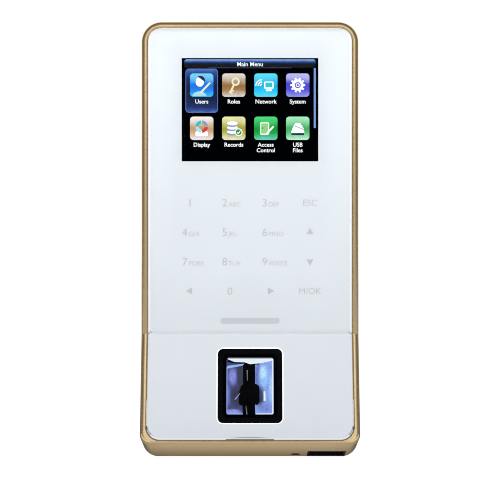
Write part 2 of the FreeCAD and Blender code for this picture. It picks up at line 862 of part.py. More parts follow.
def make_sensor():
    """Bezel, gasket, prism, lighting, lens, camera chip, housing, board and screws."""
    window = rounded("prism_wide", "prism_tall", "prism_radius", "0", "-sensor_drop")
    bezel = Piece("sensor_bezel", SLOPE)
    bezel.pad([rounded("bezel_wide", "bezel_tall", "bezel_radius", "0", "-sensor_drop")],
              "-bezel_back", "bezel_back + %s" % BEZEL_FRONT)
    bezel.pad([rounded("bezel_wide + 2 * bezel_flange", "bezel_tall + 2 * bezel_flange",
                       "bezel_radius + bezel_flange", "0", "-sensor_drop")],
              "-bezel_back", "bezel_back - panel_sink - cover_thick")
    bezel.cut([window], "0", "2 * bezel_back")
    inner = number("prism_wide / 2")
    bezel.dress("Chamfer", {"ChamferType": "Two distances", "Size": "bezel_slope_wide",
                            "Size2": "bezel_slope_deep"},
                lambda e: all_at(number(BEZEL_FRONT))(e)
                and all(abs(p.x) < inner + NEAR for p in ends(e)))

    grown = ("prism_wide + 2 * gasket_band", "prism_tall + 2 * gasket_band",
             "prism_radius + prism_shoulder")
    gasket = Piece("sensor_gasket", SLOPE)
    gasket.pad([rounded(*grown, "0", "-sensor_drop")], "-bezel_back - gasket_thick",
               "gasket_thick")
    gasket.cut([window], "-bezel_back", "2 * gasket_thick")

    prism = Piece("fingerprint_prism", SLOPE)
    prism.pad([rounded("prism_wide - 2 * prism_gap", "prism_tall - 2 * prism_gap",
                       "prism_radius", "0", "-sensor_drop")],
              "-prism_back", "prism_back - prism_sink")
    prism.pad([rounded("prism_wide + 2 * prism_shoulder", "prism_tall + 2 * prism_shoulder",
                       "prism_radius", "0", "-sensor_drop")],
              "-prism_back", "prism_back - bezel_back - gasket_thick")

    panels = Piece("light_panels", SLOPE)
    panels.pad(mirrored(rectangle, "light_panel_wide", "light_panel_tall",
                        across="light_panel_across", up="-sensor_drop"),
               "-prism_back - light_panel_thick", "light_panel_thick")

    lens = Piece("sensor_lens", SLOPE)
    lens.pad([rectangle("barrel_wide", "barrel_tall", "0", "-sensor_drop")],
             "-barrel_back", "barrel_back - prism_back")

    box = Piece("sensor_housing", SLOPE)
    box_front = "-bezel_back - gasket_thick"
    box.pad([rounded("sensor_box_wide", "sensor_box_tall", "sensor_box_radius", "0",
                     "-sensor_drop")],
            "-sensor_box_back", "sensor_box_back + %s" % box_front)
    for side in ("-", "+"):
        box.pad([rectangle("ear_wide", "ear_tall", "0",
                           "-sensor_drop %s boss_pitch / 2" % side)],
                "-panel_sink - cover_thick - boss_deep - ear_thick", "ear_thick")
    box.cut([rectangle("sensor_box_wide - 2 * sensor_box_wall",
                       "sensor_box_tall - 2 * sensor_box_wall", "0", "-sensor_drop")],
            box_front, "sensor_box_back")
    box.cut(at_sensor_bosses("board_screw_radius"), box_front, "sensor_box_back")

    board = Piece("sensor_board", SLOPE)
    board.pad([rectangle("sensor_box_wide", "sensor_box_tall", "0", "-sensor_drop")],
              "-sensor_box_back - sensor_board_thick", "sensor_board_thick")

    chip = Piece("image_chip", SLOPE)
    chip.pad([rectangle("image_chip_side", "image_chip_side", "0", "-sensor_drop")],
             "-sensor_box_back", "image_chip_thick")

    leds = Piece("sensor_leds", SLOPE)
    leds.pad([dot for side in ("-", "+")
              for dot in mirrored(rectangle, "sensor_led_side", "sensor_led_side",
                                  across="light_panel_across",
                                  up="-sensor_drop %s light_panel_tall / 4" % side)],
             "-sensor_box_back", "sensor_led_thick")

    seat = "-panel_sink - cover_thick - boss_deep - ear_thick"
    screws = Piece("sensor_screws", SLOPE)
    screws.pad(at_sensor_bosses("board_screw_radius"), seat,
               "ear_thick + boss_deep - sensor_screw_short")
    screws.pad(at_sensor_bosses("board_screw_head"), "%s - board_screw_head_thick" % seat,
               "board_screw_head_thick")
    cross_recess(screws, sensor_screw_places(), "%s - board_screw_head_thick" % seat,
                 "board_screw_head")


def sensor_screw_places():
    return [(across, "-sensor_drop %s boss_pitch / 2" % side)
            for side in ("-", "+") for across in ("-boss_across", "boss_across")]


def cross_recess(screws, places, back, head):
    """A cross-shaped driver recess in the back of each screw head."""
    long = "(%s) * recess_span_ratio" % head
    short = "(%s) * recess_arm_ratio" % head
    for wide, tall in ((long, short), (short, long)):
        screws.cut([rectangle(wide, tall, across, up) for across, up in places],
                   "%s + recess_deep" % back, "recess_deep + overrun")


def make_display():
    """Liquid crystal cell, backlight, tray and flat cable."""
    cell_back = "%s - lcd_cell_thick" % FILM_BACK
    light_back = "%s - backlight_thick" % cell_back
    face = rectangle("lcd_wide", "lcd_tall", "0", "window_rise")
    Piece("lcd_panel").pad([face], cell_back, "lcd_cell_thick")
    Piece("lcd_backlight").pad([face], light_back, "backlight_thick")
    tray = Piece("lcd_tray")
    tray.pad([rectangle("lcd_wide + 2 * tray_wall", "lcd_tall + 2 * tray_wall", "0",
                        "window_rise")],
             "%s - tray_back" % light_back, "tray_back + backlight_thick + lcd_cell_thick / 2")
    tray.cut([face], cell_back + " + lcd_cell_thick / 2",
             "backlight_thick + lcd_cell_thick / 2")
    # The cable leaves the tray's lower edge and steps back to its connector.
    low = "(window_rise - lcd_tall / 2 - tray_wall)"
    plug = "(lcd_plug_rise + lcd_plug_tall / 2)"
    front = "(%s + lcd_plug_thick)" % BOARD_FRONT
    cable = Piece("lcd_flex")
    cable.pad_across([
        (light_back + " + flex_thick", low),
        (light_back, low),
        (light_back, "%s - flex_step" % low),
        (front, plug + " + flex_step"),
        (front, plug),
        (front + " + flex_thick", plug),
        (front + " + flex_thick", plug + " + flex_step"),
        (light_back + " + flex_thick", "%s - flex_step" % low),
    ], "flex_wide")
    Piece("lcd_connector").pad(
        [rectangle("lcd_plug_wide", "lcd_plug_tall", "0", "lcd_plug_rise")],
        BOARD_FRONT, "lcd_plug_thick + flex_thick")


def key_places():
    """The sixteen keys, row by row from the top."""
    return [("(%s) * key_pitch_across" % column, "key_rise - %d * key_pitch_up" % row)
            for row in range(4) for column in ("-1.5", "-0.5", "0.5", "1.5")]


def make_keypad():
    """Capacitive key board, its lights and its card-reader coil, and the status bar."""
    touch_back = "(%s - touch_thick)" % FILM_BACK
    touch = Piece("touch_board")
    touch.pad([rounded("touch_wide", "touch_tall", "touch_radius", "0", "touch_rise")],
              touch_back, "touch_thick")
    Piece("key_leds").pad([rectangle("key_led_wide", "key_led_tall", across, up)
                           for across, up in key_places()],
                          "%s - key_led_deep" % touch_back, "key_led_deep")
    coil = Piece("card_reader_coil")
    coil.pad([rounded("coil_wide", "coil_tall", "coil_radius", "0", "touch_rise")],
             "%s - coil_thick" % touch_back, "coil_thick")
    coil.cut([rounded("coil_wide - 2 * coil_band", "coil_tall - 2 * coil_band",
                      "coil_radius / 2", "0", "touch_rise")], touch_back, "2 * coil_thick")
    Piece("touch_connector").pad(
        [rectangle("touch_plug_wide", "touch_plug_tall", "0", "touch_plug_rise")],
        BOARD_FRONT, "%s - %s" % (touch_back, BOARD_FRONT))
    guide = Piece("status_light_guide")
    guide.pad([rounded("bar_wide", "bar_light_tall", "bar_light_radius", "0",
                       "-bar_light_drop")], "%s - bar_light_depth" % GLASS_BACK,
              "bar_light_depth - film_bead_thick")
    Piece("status_leds").pad([rectangle("key_led_wide", "key_led_tall",
                                        "%d * status_led_pitch" % place, "-bar_light_drop")
                              for place in (-1, 0, 1)], BOARD_FRONT, "key_led_tall")


def board_screw_places():
    return [(across, up) for up in ("board_screw_rise", "-board_screw_drop")
            for across in ("-board_screw_across", "board_screw_across")]


def circles(radius, places):
    return [circle(radius, across, up) for across, up in places]


def make_main_board():
    """The main board, with a leg for the USB socket, and what is soldered to it."""
    board = Piece("main_board")
    board.pad([polygon(("-board_half", "-board_bottom"), ("leg_inner", "-board_bottom"),
                       ("leg_inner", "-leg_bottom"), ("leg_outer", "-leg_bottom"),
                       ("leg_outer", "-board_bottom"),
                       ("board_half", "-board_bottom + board_bevel"),
                       ("board_half", "board_top"), ("-board_half", "board_top"))],
              "board_level", "board_thick")
    board.cut(circles("board_screw_radius", board_screw_places()), BOARD_FRONT,
              "2 * board_thick")
    # The socket is sunk into a bay in the leg's lower edge.
    board.cut([rectangle("usb_wide", "2 * usb_bay", "usb_across", "-leg_bottom")],
              BOARD_FRONT, "2 * board_thick")
    screws = Piece("board_screws")
    tip = "(%s + board_screw_tip)" % REAR_INNER
    screws.pad(circles("board_screw_radius", board_screw_places()), tip,
               "%s - %s" % (BOARD_FRONT, tip))
    screws.pad(circles("board_screw_head", board_screw_places()), BOARD_FRONT,
               "board_screw_head_thick")
    on_board("processor", "processor_thick",
             [("processor_side", "processor_side", "processor_across", "processor_rise")])
    on_board("memory_chips", "memory_thick",
             [("memory_wide", "memory_tall", "memory_across",
               "memory_rise %s memory_pitch / 2" % side) for side in ("+", "-")])
    on_board("power_inductors", "inductor_thick",
             [("inductor_side", "inductor_side", "inductor_across",
               "inductor_rise %s inductor_pitch / 2" % side) for side in ("+", "-")])
    capacitors = Piece("capacitors")
    capacitors.pad([circle("capacitor_radius", "capacitor_across + %d * capacitor_pitch" % place,
                           "capacitor_rise") for place in (-1, 0, 1)],
                   BOARD_FRONT, "capacitor_tall")
    can = Piece("shield_can")
    can.pad([rounded("can_wide", "can_tall", "can_radius", "can_across", "-can_drop")],
            BOARD_FRONT, "can_thick")
    can.cut([rectangle("can_wide - 2 * can_wall", "can_tall - 2 * can_wall", "can_across",
                       "-can_drop")],
            "%s + can_thick - can_wall" % BOARD_FRONT, "can_thick - can_wall")
    on_board("lock_relay", "relay_thick",
             [("relay_wide", "relay_tall", "usb_across", "-relay_drop")])
    place = ("cell_across", "-cell_drop")
    holder = Piece("coin_cell_holder")
    holder.pad([rectangle("cell_holder", "cell_holder", *place)], BOARD_FRONT,
               "cell_thick + cell_floor")
    holder.cut([circle("cell_radius + slip", *place)],
               "%s + cell_thick + cell_floor" % BOARD_FRONT, "cell_thick")
    cell = Piece("coin_cell")
    cell.pad([circle("cell_radius", *place)], "%s + cell_floor" % BOARD_FRONT,
             "cell_thick - slip")


def on_board(name, thick, blocks):
    """Blocks soldered to the board's front: width, height, across, up."""
    Piece(name).pad([rectangle(*block) for block in blocks], BOARD_FRONT, thick)


def make_headers():
    """White wiring headers on the board's back, in the cover's wiring window, with pins."""
    pins = Piece("header_pins")
    rows = []
    for name, count, across in (("power_header", 2, "power_across"),
                                ("network_header", 4, "network_across"),
                                ("lock_header", 5, "lock_across")):
        wide = "%d * pin_pitch + header_end" % count
        header = Piece(name)
        header.pad([rectangle(wide, "header_tall", across, "header_rise")],
                   "board_level - header_deep", "header_deep")
        # The plug enters from below, between the header's walls.
        header.cut([rectangle("%s - 2 * header_wall" % wide, "header_tall", across,
                              "header_rise - header_wall")],
                   "board_level - header_wall", "header_deep - 2 * header_wall")
        for place in range(count):
            rows.append(rectangle("pin_side", "header_tall - 2 * header_wall",
                                  "%s + (%s) * pin_pitch" % (across, place - (count - 1) / 2),
                                  "header_rise"))
    pins.pad(rows, "board_level - header_deep / 2 - pin_side / 2", "pin_side")


def make_usb():
    """USB socket sunk into the board's leg, and the black surround in the frame's slot."""
    shell = Piece("usb_socket_shell")
    middle = "-usb_mouth + usb_long / 2"
    back = "usb_level - usb_deep / 2"
    shell.pad([rectangle("usb_wide", "usb_long", "usb_across", middle)], back, "usb_deep")
    shell.cut([rectangle("usb_wide - 2 * usb_sheet", "usb_long",
                         "usb_across", "%s - usb_sheet" % middle)],
              "usb_level + usb_deep / 2 - usb_sheet", "usb_deep - 2 * usb_sheet")
    tongue = Piece("usb_socket_tongue")
    root_tall = "usb_long - tongue_long - usb_sheet"
    tongue.pad([rectangle("usb_wide - 2 * usb_sheet", root_tall, "usb_across",
                          "-usb_mouth + usb_long - usb_sheet - (%s) / 2" % root_tall)],
               back + " + usb_sheet", "usb_deep - 2 * usb_sheet")
    tongue.pad([upright("usb_wide - 2 * usb_sheet - 2 * tongue_gap", "-usb_mouth + tongue_gap",
                        "-usb_mouth + tongue_long", "usb_across")],
               back + " + usb_deep - usb_sheet - tongue_front_gap - tongue_thick",
               "tongue_thick")
    surround = Piece("usb_bezel_blank", exported=False)
    front = "usb_slot_front - usb_bezel_slip"
    low = [underside_at(level, "0") for level in ("frame_back", front)]
    high = [underside_at(level, "usb_bezel_thick") for level in ("frame_back", front)]
    surround.pad_across([("frame_back", low[0]), (front, low[1]), (front, high[1]),
                         ("frame_back", high[0])],
                        "usb_slot_wide - usb_bezel_slip", "usb_across")
    surround.cut([rectangle("usb_wide - 2 * usb_sheet", "usb_slot_wide", "usb_across",
                            "-tall / 2")], "usb_level + usb_deep / 2 - usb_sheet",
                 "usb_deep - 2 * usb_sheet")
    # Where the slot meets the round corner, the surround follows the housing's outside.
    outside = outer_block("housing_outside", exported=False)
    fitted = document.addObject("Part::Common", "fitted_surround")
    fitted.Base = surround.body
    fitted.Tool = outside.body
    export("usb_bezel", fitted)


def make_speaker():
    """Loudspeaker facing the rear cover: foam ring, basket, cone and magnet."""
    place = ("speaker_across", "-speaker_drop")
    gasket = Piece("speaker_gasket")
    gasket.pad([circle("speaker_radius", *place)], REAR_INNER, "foam_thick")
    gasket.cut([circle("speaker_radius - foam_band", *place)], REAR_INNER + " + foam_thick",
               "2 * foam_thick")
    back = "(%s + foam_thick)" % REAR_INNER
    basket = Piece("speaker_basket")
    basket.pad([circle("speaker_radius", *place)], back, "speaker_deep")
    basket.cut([circle("speaker_radius - foam_band", *place)],
               back + " + speaker_deep - speaker_wall", "speaker_deep")
    basket.cut([circle("basket_hole", *place)], back + " + speaker_deep", "2 * speaker_wall")
    cone = Piece("speaker_cone")
    cone.pad([circle("speaker_radius - foam_band", *place)], back + " + cone_gap", "cone_thick")
    cone.pad([circle("dome_radius", *place)], back + " + dome_gap", "cone_gap - dome_gap")
    magnet = Piece("speaker_magnet")
    magnet.pad([circle("magnet_radius", *place)], back + " + speaker_deep", "magnet_deep")


def make_buttons():
    """Tamper plunger and reset button, each with its switch on the board's back."""
    place = ("tamper_across", "tamper_rise")
    switch = Piece("tamper_switch")
    switch.pad([rectangle("tamper_side", "tamper_side", *place)], "tamper_back",
               "board_level - tamper_back")
    switch.cut([circle("plunger_stem + slip", *place)], "board_level - tamper_web",
               "board_level")
    plunger = Piece("tamper_plunger")
    plunger.pad([circle("plunger_radius", *place)], "plunger_tip",
                "tamper_back - plunger_tip")
    plunger.pad([circle("plunger_stem", *place)], "tamper_back",
                "plunger_stem_end - tamper_back")
    plunger.dress("Fillet", {"Radius": "plunger_round"}, all_at(number("plunger_tip")))

    place = ("reset_across", "reset_rise")
    switch_back = "(board_level - reset_switch_thick)"
    switch = Piece("reset_switch")
    switch.pad([rectangle("reset_side", "reset_side", *place)], switch_back,
               "reset_switch_thick")
    switch.cut([circle("reset_stem + slip", *place)], "board_level - reset_web", "board_level")
    button = Piece("reset_button")
    tip = "(cover_level - reset_proud)"
    shoulder = "(%s - reset_travel - reset_gap)" % switch_back
    button.pad([circle("reset_radius", *place)], tip, "%s - %s" % (shoulder, tip))
    button.pad([circle("reset_flange", *place)], "%s - reset_flange_thick" % shoulder,
               "reset_flange_thick")
    button.pad([circle("reset_stem", *place)], shoulder,
               "reset_travel + reset_gap + reset_bite")
    button.dress("Fillet", {"Radius": "reset_round"}, all_at(number(tip)))


def make_rear_cover():
    """The black rear cover inside the frame's back opening, with all its windows."""
    cover = Piece("rear_cover")
    inset = "(wall_thick + panel_gap)"
    high = "(tall / 2 - %s)" % inset
    low = "(%s)" % underside_at(REAR_INNER, inset)
    cover.pad([rounded("wide - 2 * %s" % inset, "%s - %s" % (high, low),
                       "corner_radius - %s" % inset, "0", "(%s + %s) / 2" % (high, low))],
              "cover_level", "rear_thick")
    cover.pad(circles("standoff_radius", board_screw_places()), REAR_INNER,
              "board_level - %s" % REAR_INNER)
    cover.cut(at_rear_bosses("rear_screw_radius + slip"), REAR_INNER, "2 * rear_thick")
    cover.cut(at_rear_bosses("rear_screw_head + 2 * slip"), "cover_level + rear_screw_sink",
              "rear_screw_sink + overrun")
    cover.cut(circles("board_screw_radius", board_screw_places()), "board_level",
              "board_level - %s - board_screw_tip" % REAR_INNER)
    cover.cut([rounded("wiring_wide", "wiring_tall", "wiring_radius", "0", "wiring_rise")],
              REAR_INNER, "2 * rear_thick")
    cover.cut([rectangle("tamper_side + 2 * tamper_clear", "tamper_side + 2 * tamper_clear",
                         "tamper_across", "tamper_rise")], REAR_INNER, "2 * rear_thick")
    cover.cut([circle("reset_radius + 2 * slip", "reset_across", "reset_rise")], REAR_INNER,
              "2 * rear_thick")
    cover.cut([circle("reset_flange + 2 * slip", "reset_across", "reset_rise")], REAR_INNER,
              "rear_thick - reset_ledge")
    cover.cut(mirrored(rectangle, "hook_wide + 2 * hook_clear", "hook_slot_tall",
                       across="hook_across",
                       up="hook_rise + plate_thick + 2 * slip - hook_slot_tall / 2"),
              REAR_INNER, "2 * rear_thick")
    holes = [(across, up) for across in range(-2, 3) for up in range(-2, 3)
             if across * across + up * up < 6]
    cover.cut([circle("sound_hole_radius", "speaker_across + %d * sound_hole_pitch" % across,
                      "-speaker_drop + %d * sound_hole_pitch" % up) for across, up in holes],
              REAR_INNER, "2 * rear_thick")
    # Room for the USB socket's shell, and for the wall plate's tab and its screw.
    cover.cut([upright("usb_wide + 2 * usb_clear", "-tall / 2",
                       "-usb_mouth + usb_long + usb_clear", "usb_across")], REAR_INNER,
              "%s - usb_level + usb_deep / 2 + 2 * slip" % REAR_INNER)
    cover.cut([upright("tongue_wide + 2 * tongue_clear", "-tall / 2",
                       "-secure_tip_drop + 2 * tongue_clear", "secure_across")], REAR_INNER,
              "2 * rear_thick")
    # Hollows over the wall plate's screw heads.
    cover.cut([circle("head_hollow", across, up) for across, up in wall_screw_places()],
              "cover_level + head_hollow_deep", "head_hollow_deep + overrun")
    screws = Piece("rear_cover_screws")
    places = [(side + across, up) for across, up in REAR_BOSSES for side in ("-", "")]
    seat = "(cover_level + rear_screw_sink)"
    screws.pad(circles("rear_screw_radius", places), seat, "rear_screw_reach - %s" % seat)
    screws.pad(circles("rear_screw_head", places), "%s - rear_screw_head_thick" % seat,
               "rear_screw_head_thick")
    cross_recess(screws, places, "%s - rear_screw_head_thick" % seat, "rear_screw_head")
    seal = Piece("wiring_seal")
    seal.pad([rounded("wiring_wide", "wiring_tall", "wiring_radius", "0", "wiring_rise")],
             "cover_level - seal_proud", "rear_thick + seal_proud")
    seal.cut([rounded("wiring_wide - 2 * seal_band", "wiring_tall - 2 * seal_band",
                      "wiring_radius - seal_band", "0", "wiring_rise")], REAR_INNER,
             "2 * rear_thick")


def wall_screw_places():
    """Four screws to the wall in a rectangle, and two to a gang box in a line."""
    corners = [("%swall_screw_across / 2" % left, "%swall_screw_up / 2" % low)
               for left in ("-", "") for low in ("-", "")]
    return corners + [("0", "%sgang_spacing / 2" % low) for low in ("-", "")]


def make_wall_plate():
    """The folded steel plate on the wall, and the screw that locks the terminal to it."""
    plate = Piece("wall_plate")
    middle = "(plate_top - plate_bottom) / 2"
    plate.pad([rounded("plate_wide", "plate_top + plate_bottom", "plate_radius", "0", middle)],
              "0", "plate_thick")
    plate.pad([upright("tongue_wide", "-tongue_drop", "-plate_bottom + plate_radius",
                       "secure_across")], "0", "plate_thick")
    plate.pad([upright("tongue_wide", "-tongue_drop", "-tongue_drop + plate_thick",
                       "secure_across")], "0", "tab_reach")
    hooks = [upright("hook_wide", "hook_rise", "hook_rise + plate_thick", side + "hook_across")
             for side in ("-", "")]
    plate.pad(hooks, "0", "hook_reach")
    lips = [upright("hook_wide", "hook_rise", "hook_rise + plate_thick + hook_lip",
                    side + "hook_across") for side in ("-", "")]
    plate.pad(lips, "hook_reach - hook_lip_thick", "hook_lip_thick")
    for side in ("", "-"):
        centre = "%s(window_high + window_low) / 2" % side
        plate.cut([rounded("2 * window_half", "window_high - window_low", "plate_radius", "0",
                           centre)], "plate_thick", "2 * plate_thick")
    plate.cut(circles("wall_screw_radius", wall_screw_places()), "plate_thick",
              "2 * plate_thick")
    plate.cut(mirrored(circle, "tamper_window", across="tamper_across", up="tamper_rise"),
              "plate_thick", "2 * plate_thick")
    # Open the sheet behind each hook, where its tab was folded out.
    window_low = "hook_rise + plate_thick + hook_window_gap"
    plate.cut([upright("hook_wide", window_low, window_low + " + hook_lip",
                       side + "hook_across") for side in ("-", "")],
              "plate_thick", "2 * plate_thick")
    plate.cut_down([circle("secure_radius", "secure_across", "-secure_level")],
                   "-tongue_drop + 2 * plate_thick", "4 * plate_thick")
    screw = Piece("securing_screw")
    screw.pad_up([circle("secure_radius", "secure_across", "-secure_level")],
                 "-secure_seat_drop", "secure_seat_drop - secure_tip_drop")
    screw.pad_up([circle("secure_head", "secure_across", "-secure_level")],
                 "-secure_seat_drop - secure_head_thick", "secure_head_thick")


def make_cables():
    """The flat cable from the sensor board up to its connector on the board's back."""
    plug_low = "(-sensor_plug_drop - sensor_plug_tall / 2)"
    back = "(board_level - sensor_plug_thick / 2)"
    Piece("sensor_connector").pad(
        [rectangle("sensor_plug_wide", "sensor_plug_tall", "0", "-sensor_plug_drop")],
        "board_level - sensor_plug_thick", "sensor_plug_thick")
    board_mid = "(sensor_box_back + sensor_board_thick)"
    edge_run = "(sensor_drop - sensor_box_tall / 2)"
    end_level = "(upper_depth + %s * sin(%s) - %s * cos(%s))" % (edge_run, TILT, board_mid, TILT)
    end_up = "(-crease_drop - %s * cos(%s) - %s * sin(%s))" % (edge_run, TILT, board_mid, TILT)
    Piece("sensor_flex").pad_across([
        (back, plug_low),
        (back + " - flex_thick", plug_low),
        (end_level + " - flex_thick", end_up + " + flex_land"),
        (end_level + " - flex_thick", end_up),
        (end_level, end_up),
        (end_level, end_up + " + flex_land"),
    ], "sensor_flex_wide")


def write_steps():
    """Check every object and every piece, then write one STEP file for each piece."""
    settle()
    os.makedirs("parts", exist_ok=True)
    for name, thing in pieces.items():
        shape = thing.Shape
        if shape.isNull() or not shape.isValid() or not shape.Solids:
            raise ValueError("%s is not a valid solid" % name)
    for name, thing in pieces.items():
        thing.Shape.exportStep("parts/%s.step" % name)


fill_sheet()
make_frame()
make_front()
make_lower_cover()
make_sensor()
make_display()
make_keypad()
make_main_board()
make_headers()
make_usb()
make_speaker()
make_buttons()
make_rear_cover()
make_wall_plate()
make_cables()
write_steps()
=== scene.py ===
import json
import math

import bpy
from mathutils import Matrix, Vector


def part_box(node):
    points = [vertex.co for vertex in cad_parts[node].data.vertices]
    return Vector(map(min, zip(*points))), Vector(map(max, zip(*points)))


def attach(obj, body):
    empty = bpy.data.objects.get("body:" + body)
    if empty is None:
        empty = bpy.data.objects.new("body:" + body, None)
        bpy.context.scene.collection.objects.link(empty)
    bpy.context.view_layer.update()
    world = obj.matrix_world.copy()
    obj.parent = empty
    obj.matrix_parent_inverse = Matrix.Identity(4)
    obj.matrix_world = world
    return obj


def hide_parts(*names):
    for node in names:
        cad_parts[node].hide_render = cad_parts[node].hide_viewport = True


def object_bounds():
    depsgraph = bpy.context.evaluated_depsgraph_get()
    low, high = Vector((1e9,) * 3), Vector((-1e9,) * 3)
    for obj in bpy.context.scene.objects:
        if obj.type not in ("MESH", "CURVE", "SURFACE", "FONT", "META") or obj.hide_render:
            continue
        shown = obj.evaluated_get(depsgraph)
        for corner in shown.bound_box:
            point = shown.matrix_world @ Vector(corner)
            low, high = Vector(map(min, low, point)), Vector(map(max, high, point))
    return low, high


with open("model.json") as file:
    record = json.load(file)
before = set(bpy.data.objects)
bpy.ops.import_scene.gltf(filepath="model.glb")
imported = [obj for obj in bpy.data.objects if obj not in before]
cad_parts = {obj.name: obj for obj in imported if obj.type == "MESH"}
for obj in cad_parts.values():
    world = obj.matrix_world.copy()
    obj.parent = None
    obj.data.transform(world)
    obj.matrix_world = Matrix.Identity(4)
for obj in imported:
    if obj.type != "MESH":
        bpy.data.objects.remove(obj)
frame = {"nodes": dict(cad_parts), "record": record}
CAD_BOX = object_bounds()
NODES = frame["nodes"]
SCENE = bpy.context.scene
MM = 0.001

# ---------- node trees

class Nodes:
    """A node tree built step by step; each step gives an output for later ones to take."""

    def __init__(self, tree):
        self.tree = tree
        tree.nodes.clear()

    def add(self, kind, inputs=None, **settings):
        """A node with its settings; an input is a fixed value or another node's output."""
        node = self.tree.nodes.new(kind)
        for key, value in settings.items():
            setattr(node, key, value)
        for key, value in (inputs or {}).items():
            if isinstance(value, (int, float, tuple)):
                node.inputs[key].default_value = value
            else:
                self.tree.links.new(value, node.inputs[key])
        return node

    def math(self, operation, first, second=0.0, clamp=False):
        return self.add("ShaderNodeMath", {0: first, 1: second}, operation=operation,
                        use_clamp=clamp).outputs[0]

    def product(self, result, *factors):
        for factor in factors:
            result = self.math("MULTIPLY", result, factor)
        return result

    def span(self, value, low, high, to_low=0.0, to_high=1.0, smooth=False):
        """to_low where the value is at most low, running to to_high where it is at least high."""
        return self.add("ShaderNodeMapRange",
                        {"Value": value, "From Min": low, "From Max": high,
                         "To Min": to_low, "To Max": to_high},
                        interpolation_type="SMOOTHSTEP" if smooth else "LINEAR").outputs[0]

    def mix(self, factor, first, second):
        """Two colours mixed; the node's colour inputs are 6 and 7, and its colour output 2."""
        return self.add("ShaderNodeMix", {0: factor, 6: first, 7: second},
                        data_type="RGBA").outputs[2]


# ---------- camera and lights

SCENE.view_settings.view_transform = "Standard"
SCENE.cycles.filter_width = 1.0

# The camera, the key light and the floor are placed in metres.
EYE = (0.0, -0.406, -0.00275)
LENS, SENSOR = 79.0, 36.0
CLIP_NEAR, CLIP_FAR = 0.01, 50.0

KEY_PLACE, KEY_TARGET = (0.0, -0.28, 0.14), (0.0, 0.0, 0.01)
KEY_SIZE = (0.3, 0.16)
KEY_POWER = 0.66
WHITE_LIGHT, WARM_LIGHT = (1.0, 1.0, 1.0, 1.0), (1.0, 0.86, 0.64, 1.0)


def make_camera():
    """A frontal view from the middle of the terminal's height."""
    data = bpy.data.cameras.new("camera")
    data.lens = LENS
    data.sensor_width = SENSOR
    data.clip_start = CLIP_NEAR
    data.clip_end = CLIP_FAR
    camera = bpy.data.objects.new("camera", data)
    SCENE.collection.objects.link(camera)
    camera.location = EYE
    camera.rotation_euler = (math.pi / 2, 0.0, 0.0)
    SCENE.camera = camera


def make_key_light():
    """A rectangular soft light above the camera, which polished surfaces don't show."""
    data = bpy.data.lights.new("key", "AREA")
    data.shape = "RECTANGLE"
    data.size, data.size_y = KEY_SIZE
    data.energy = KEY_POWER
    lamp = bpy.data.objects.new("key", data)
    SCENE.collection.objects.link(lamp)
    lamp.location = KEY_PLACE
    toward = Vector(KEY_TARGET) - Vector(KEY_PLACE)
    lamp.rotation_euler = toward.to_track_quat("-Z", "Y").to_euler()
    lamp.visible_glossy = False
    lamp.visible_camera = False
    return lamp


def make_world():
    """White behind the object. Matt surfaces get an even skylight; polished ones mirror a dim
    room with a bright window above the camera and the camera's own dark stand."""
    world = bpy.data.worlds.new("room")
    SCENE.world = world
    world.use_nodes = True
    room = Nodes(world.node_tree)

    def fade(*numbers):
        return room.span(*numbers, smooth=True)

    # The direction looked in: how far aside, towards the front and up it points.
    way = room.add("ShaderNodeSeparateXYZ",
                   {0: room.add("ShaderNodeTexCoord").outputs["Generated"]}).outputs
    aside = room.math("ABSOLUTE", way["X"])
    front = room.math("MULTIPLY", way["Y"], -1.0)
    rise = way["Z"]

    # The mirrored room: a pale patch straight ahead, a window above it, dim side walls, light
    # from behind, and the stand, a narrow dark shape between the horizon and the window.
    ahead = fade(aside, 0.18, 0.34, 1.0, 0.0)
    core = room.product(ahead, fade(rise, -0.3, -0.1, 0.0, 0.42), fade(rise, 0.3, 0.5, 1.0, 0.0))
    window = room.product(ahead, fade(rise, 0.03, 0.17, 0.0, 0.7),
                          fade(rise, 0.22, 0.42, 1.0, 0.0))
    bright = room.product(room.math("ADD", core, window), fade(front, 0.0, 0.3, 0.0, 1.0))
    walls = room.math("ADD", fade(front, 0.5, 0.93, 0.16, 0.4), fade(front, -0.3, 0.3, 0.14, 0.0))
    behind = fade(front, -0.7, -0.2, 1.0, 0.0)
    stand = room.product(fade(aside, 0.062, 0.08, 1.0, 0.0), fade(rise, -0.03, 0.03, 0.0, 1.0),
                         fade(rise, 0.176, 0.196, 1.0, 0.0))
    mirrored = room.math("ADD", room.math("ADD", bright, walls), behind)
    mirrored = room.product(mirrored, room.math("SUBTRACT", 1.0, stand))
    # The skylight on matt surfaces is a little brighter from above.
    even = fade(rise, -0.2, 0.9, 0.47, 0.76)

    rays = room.add("ShaderNodeLightPath").outputs
    seen, matt = rays["Is Camera Ray"], rays["Is Diffuse Ray"]
    polished = room.math("SUBTRACT", room.math("SUBTRACT", 1.0, seen), matt)
    strength = room.math("ADD", seen, room.math("ADD", room.product(matt, even),
                                                room.product(polished, mirrored)))
    # The side walls are warm.
    warmth = room.product(fade(front, -0.25, -0.05, 0.0, 1.0), fade(front, 0.5, 0.8, 1.0, 0.0),
                          polished)
    sky = room.add("ShaderNodeBackground", {"Color": room.mix(warmth, WHITE_LIGHT, WARM_LIGHT),
                                            "Strength": strength})
    room.add("ShaderNodeOutputWorld", {"Surface": sky.outputs[0]})
    world.cycles.sampling_method = "NONE"


# ---------- materials

def linear(red, green, blue):
    """A colour given as 0..255 screen values, as Blender's linear colour."""
    def channel(value):
        value /= 255.0
        return value / 12.92 if value <= 0.04045 else ((value + 0.055) / 1.055) ** 2.4
    return (channel(red), channel(green), channel(blue), 1.0)


def scaled(colour, factor):
    """A colour made darker or lighter."""
    return tuple(min(1.0, c * factor) for c in colour[:3]) + (1.0,)


